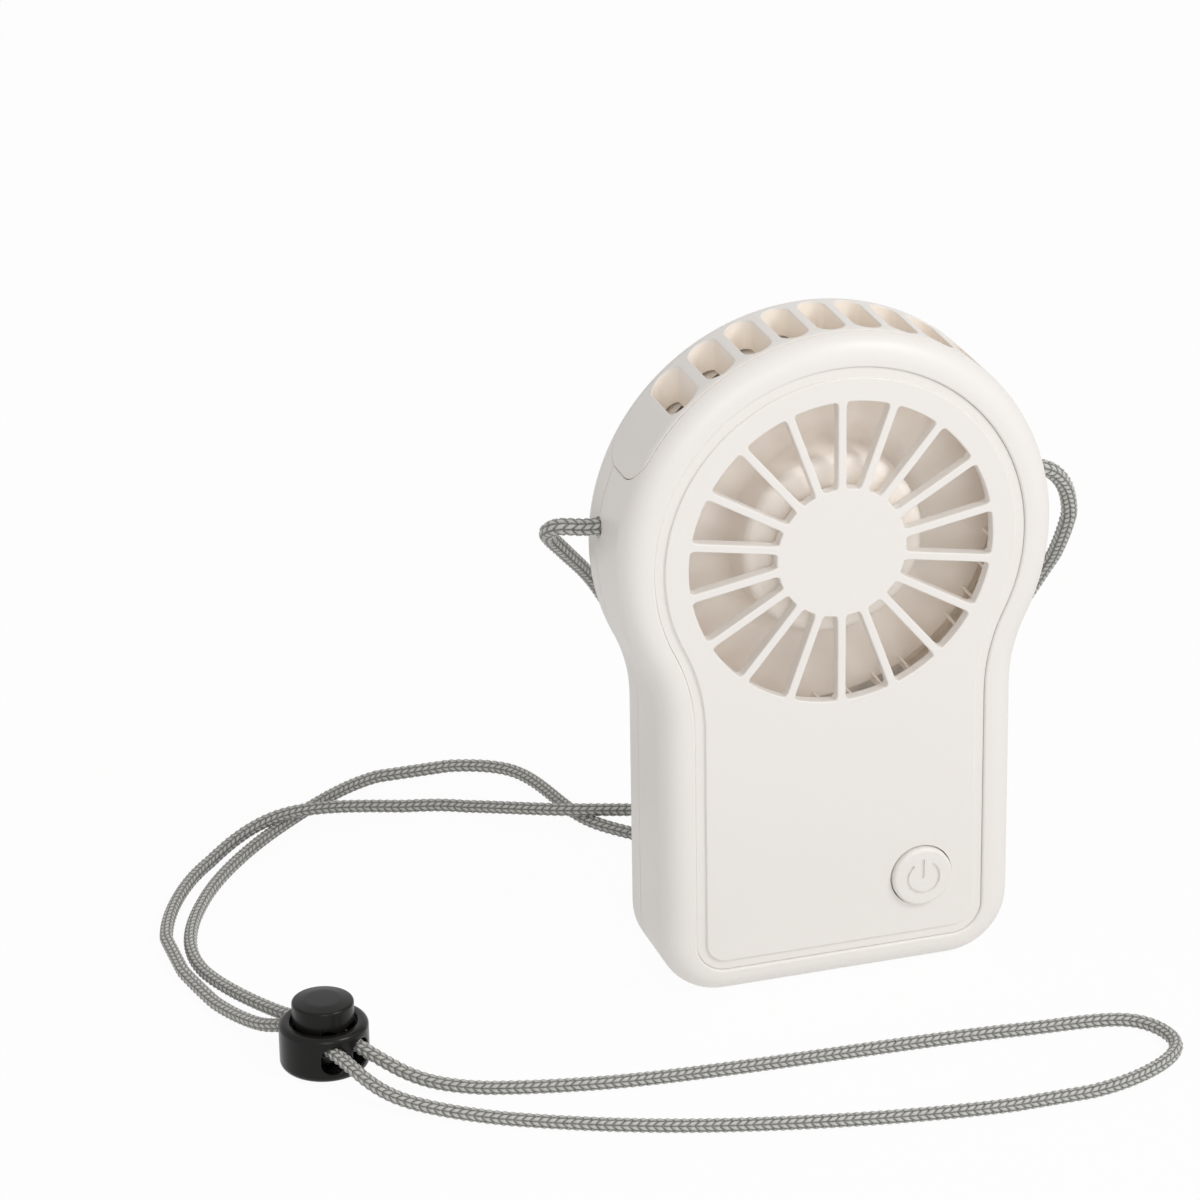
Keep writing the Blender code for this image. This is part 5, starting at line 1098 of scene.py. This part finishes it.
def calculate(tree, operation, *values):
    """A Math node whose inputs are numbers or the outputs of other nodes."""
    step = tree.nodes.new("ShaderNodeMath")
    step.operation = operation
    for place, value in zip(step.inputs, values):
        if isinstance(value, float):
            place.default_value = value
        else:
            tree.links.new(value, place)
    return step.outputs[0]


def spread_value(tree, source, low, high):
    """Map a source between 0.3 and 0.7 onto a range of values."""
    ramp = tree.nodes.new("ShaderNodeMapRange")
    for place, value in zip(("From Min", "From Max", "To Min", "To Max"), (0.3, 0.7, low, high)):
        ramp.inputs[place].default_value = value
    tree.links.new(source, ramp.inputs["Value"])
    return ramp.outputs["Result"]


def add_bump(tree, shader, height, strength, distance):
    bump = tree.nodes.new("ShaderNodeBump")
    bump.inputs["Strength"].default_value = strength
    bump.inputs["Distance"].default_value = distance
    tree.links.new(height, bump.inputs["Height"])
    tree.links.new(bump.outputs["Normal"], shader.inputs["Normal"])


def moulded(name, colour, roughness, spread, grain, depth, metallic=0.0):
    """A moulded or drawn finish: a fine grain in the relief and an uneven gloss."""
    finish, tree, shader = start_material(name, colour, roughness, metallic)
    add_bump(tree, shader, add_noise(tree, grain, 2.0), 0.3, depth)
    gloss = spread_value(tree, add_noise(tree, 60.0, 3.0), roughness - spread, roughness + spread)
    tree.links.new(gloss, shader.inputs["Roughness"])
    return finish


white = moulded("white_abs", (0.855, 0.832, 0.80), 0.42, 0.03, 2600.0, 0.00003)
cream = moulded("cream_abs", (0.955, 0.91, 0.86), 0.5, 0.03, 2600.0, 0.00003)
# Painted light: the inside faces get this brighter, warmer white, which stands in for the light that shines
# through the thin white walls into the head.
inner = moulded("inside_painted_light", (0.96, 0.90, 0.825), 0.5, 0.03, 2600.0, 0.00003)
black = moulded("black_abs", (0.008, 0.0075, 0.007), 0.24, 0.03, 1800.0, 0.00003)
black.node_tree.nodes["Principled BSDF"].inputs["Specular IOR Level"].default_value = 0.2
steel = moulded("bright_steel", (0.62, 0.61, 0.6), 0.26, 0.06, 900.0, 0.00001, 1.0)
knot_grey = moulded("knot_grey", (0.3, 0.31, 0.28), 0.7, 0.05, 1500.0, 0.0001)
board_green = moulded("board_green", (0.02, 0.13, 0.05), 0.4, 0.05, 800.0, 0.00002)
chip_black = moulded("chip_black", (0.02, 0.02, 0.022), 0.5, 0.05, 1500.0, 0.00002)
switch_black = moulded("switch_black", (0.03, 0.03, 0.03), 0.45, 0.05, 1500.0, 0.00002)
jacket = moulded("cell_jacket", (0.03, 0.07, 0.2), 0.32, 0.04, 700.0, 0.00001)
wire_red = moulded("wire_red", (0.45, 0.02, 0.02), 0.4, 0.05, 900.0, 0.00001)
wire_black = moulded("wire_black", (0.02, 0.02, 0.02), 0.4, 0.05, 900.0, 0.00001)

# %% The braid's finish
braid, tree, shader = start_material("braid_grey", (0.3, 0.31, 0.28), 0.5)
coords = tree.nodes.new("ShaderNodeUVMap")
coords.uv_map = "braid"
parts = tree.nodes.new("ShaderNodeSeparateXYZ")
tree.links.new(coords.outputs["UV"], parts.inputs["Vector"])


def wave(source):
    """One in the middle of every unit of a coordinate and nought at its ends."""
    return calculate(tree, "MULTIPLY", calculate(tree, "PINGPONG", source, 0.5), 2.0)


# Painted shade and highlight: the braid's colour is near black in the grooves between stitches and columns,
# where shade falls, and light in the middle of each stitch. A fine fibre grain is mixed in.
both = calculate(tree, "MINIMUM", wave(parts.outputs["Y"]), wave(parts.outputs["X"]))
fibre = add_noise(tree, 2400.0, 2.0)
mixed = calculate(tree, "MULTIPLY_ADD", fibre, 0.35, both)
shade_and_highlight_ramp = tree.nodes.new("ShaderNodeValToRGB")
for stop, position, colour in zip(shade_and_highlight_ramp.color_ramp.elements, (0.12, 0.75),
                                  ((0.04, 0.04, 0.036, 1), (0.56, 0.565, 0.535, 1))):
    stop.position = position
    stop.color = colour
tree.links.new(mixed, shade_and_highlight_ramp.inputs["Fac"])
tree.links.new(shade_and_highlight_ramp.outputs["Color"], shader.inputs["Base Color"])
add_bump(tree, shader, fibre, 0.4, 0.00012)
shader.inputs["Sheen Weight"].default_value = 0.15

# %% Give every piece its finish
def give(body, finish):
    body.data.materials.clear()
    body.data.materials.append(finish)


def give_painted_light_inside(body, finish, test):
    """A second finish for the faces that pass a test on their middle and their normal: here the brighter,
    warmer white painted on as light shining through the thin walls.
    """
    body.data.materials.append(finish)
    for face in body.data.polygons:
        if test(face.center, face.normal):
            face.material_index = 1


def off_axis(spot):
    """How far out a spot lies in the head, measured below the rounded edges."""
    return math.hypot(spot.x, spot.z - HEAD_Z) + edge_drop(spot.y - FRONT_Y)


def inside_head(spot, normal, facing):
    """Whether a face of the head lies below its surface, and looks to the axle or along facing."""
    faces_axle = normal.x * spot.x + normal.z * (spot.z - HEAD_Z) < 0
    return (spot.z > NECK_Z and off_axis(spot) < HEAD_RADIUS - 0.3 * MM
            and (faces_axle or facing * normal.y > 0.5))


node = frame["nodes"]
for body in (front_shell, panel, rear_shell, band, button, door):
    give(body, white)
# The faces inside the head, on the back of the panel and under the vent band get that painted light.
give_painted_light_inside(front_shell, inner, lambda spot, normal: spot.y > LEDGE_BACK_Y - 0.1 * MM
            and inside_head(spot, normal, 1))
give_painted_light_inside(panel, inner, lambda spot, normal: normal.y > 0.5)
give_painted_light_inside(rear_shell, inner, lambda spot, normal: spot.y < INNER_BACK_Y + 0.1 * MM
            and inside_head(spot, normal, -1))
give_painted_light_inside(band, inner, lambda spot, normal: off_axis(spot) < HEAD_RADIUS - 0.35 * MM)
give(impeller, cream)
give(barrel, black)
give(plunger, black)
give(lanyard, braid)
for finish, names in (
        (knot_grey, ("cord_knot_left", "cord_knot_right")),
        (steel, ("motor_can", "motor_shaft", "contact_positive", "contact_bridge_right",
                 "contact_bridge_left", "contact_negative", "cord_lock_spring")),
        (jacket, ("battery_cell_1", "battery_cell_2", "battery_cell_3")),
        (switch_black, ("motor_end_cap", "switch_body")),
        (cream, ("switch_stem",)),
        (board_green, ("circuit_board",)),
        (chip_black, ("driver_chip",)),
        (wire_red, ("wire_motor_red", "wire_battery_red")),
        (wire_black, ("wire_motor_black", "wire_battery_black"))):
    for name in names:
        give(node[name], finish)

# %% [markdown]
# The set is a white floor under a white world. A broad soft lamp stands to the right and above,
# a weaker one in front, and the pale world fills the left side, which stays a little darker.


# %% Floor, lamps and world
LAMP_AIM = Vector((0, 0, 0.06))


def lamp(name, place, power, size):
    bpy.ops.object.light_add(type="AREA", location=place)
    light = bpy.context.object
    light.name = name
    light.data.energy = power
    light.data.shape = "DISK"
    light.data.size = size
    light.rotation_euler = (LAMP_AIM - Vector(place)).to_track_quat("-Z", "Y").to_euler()


def seen_directly(tree):
    """One for camera, glossy and transmission rays, so that metal and glass show the same white."""
    rays = tree.nodes.new("ShaderNodeLightPath").outputs
    seen = calculate(tree, "MAXIMUM", rays["Is Camera Ray"], rays["Is Glossy Ray"])
    return calculate(tree, "MAXIMUM", seen, rays["Is Transmission Ray"])


def show_white(tree, kind, share, first, end):
    """Blend a shader with plain white light by a share, and lead the blend to an output node."""
    white_light = tree.nodes.new(kind)
    white_light.inputs["Color"].default_value = (1, 1, 1, 1)
    white_light.inputs["Strength"].default_value = 1.0
    blend = tree.nodes.new("ShaderNodeMixShader")
    for source, place in zip((share, first.outputs[0], white_light.outputs[0]), blend.inputs):
        tree.links.new(source, place)
    tree.links.new(blend.outputs[0], tree.nodes[end].inputs["Surface"])


lamp("key", (0.72, -0.85, 1.0), 6.6, 0.5)
lamp("fill", (-0.25, -1.25, 0.5), 3.0, 0.6)

bpy.ops.mesh.primitive_plane_add(size=6.0, location=(0, 0, 0))
floor = bpy.context.object
floor.name = "floor"
sheet, tree, shader = start_material("floor_white", (0.86, 0.86, 0.86), 0.9)
shader.inputs["Specular IOR Level"].default_value = 0.0
share = calculate(tree, "MULTIPLY", seen_directly(tree), 0.95)
show_white(tree, "ShaderNodeEmission", share, shader, "Material Output")
give(floor, sheet)

world = bpy.data.worlds.new("studio")
scene = bpy.context.scene
scene.world = world
world.use_nodes = True
tree = world.node_tree
ambient = tree.nodes["Background"]
ambient.inputs["Color"].default_value = (1.0, 0.965, 0.945, 1)
ambient.inputs["Strength"].default_value = 0.58
show_white(tree, "ShaderNodeBackground", seen_directly(tree), ambient, "World Output")

scene.view_settings.view_transform = "Standard"
scene.cycles.max_bounces = 12
scene.cycles.diffuse_bounces = 8
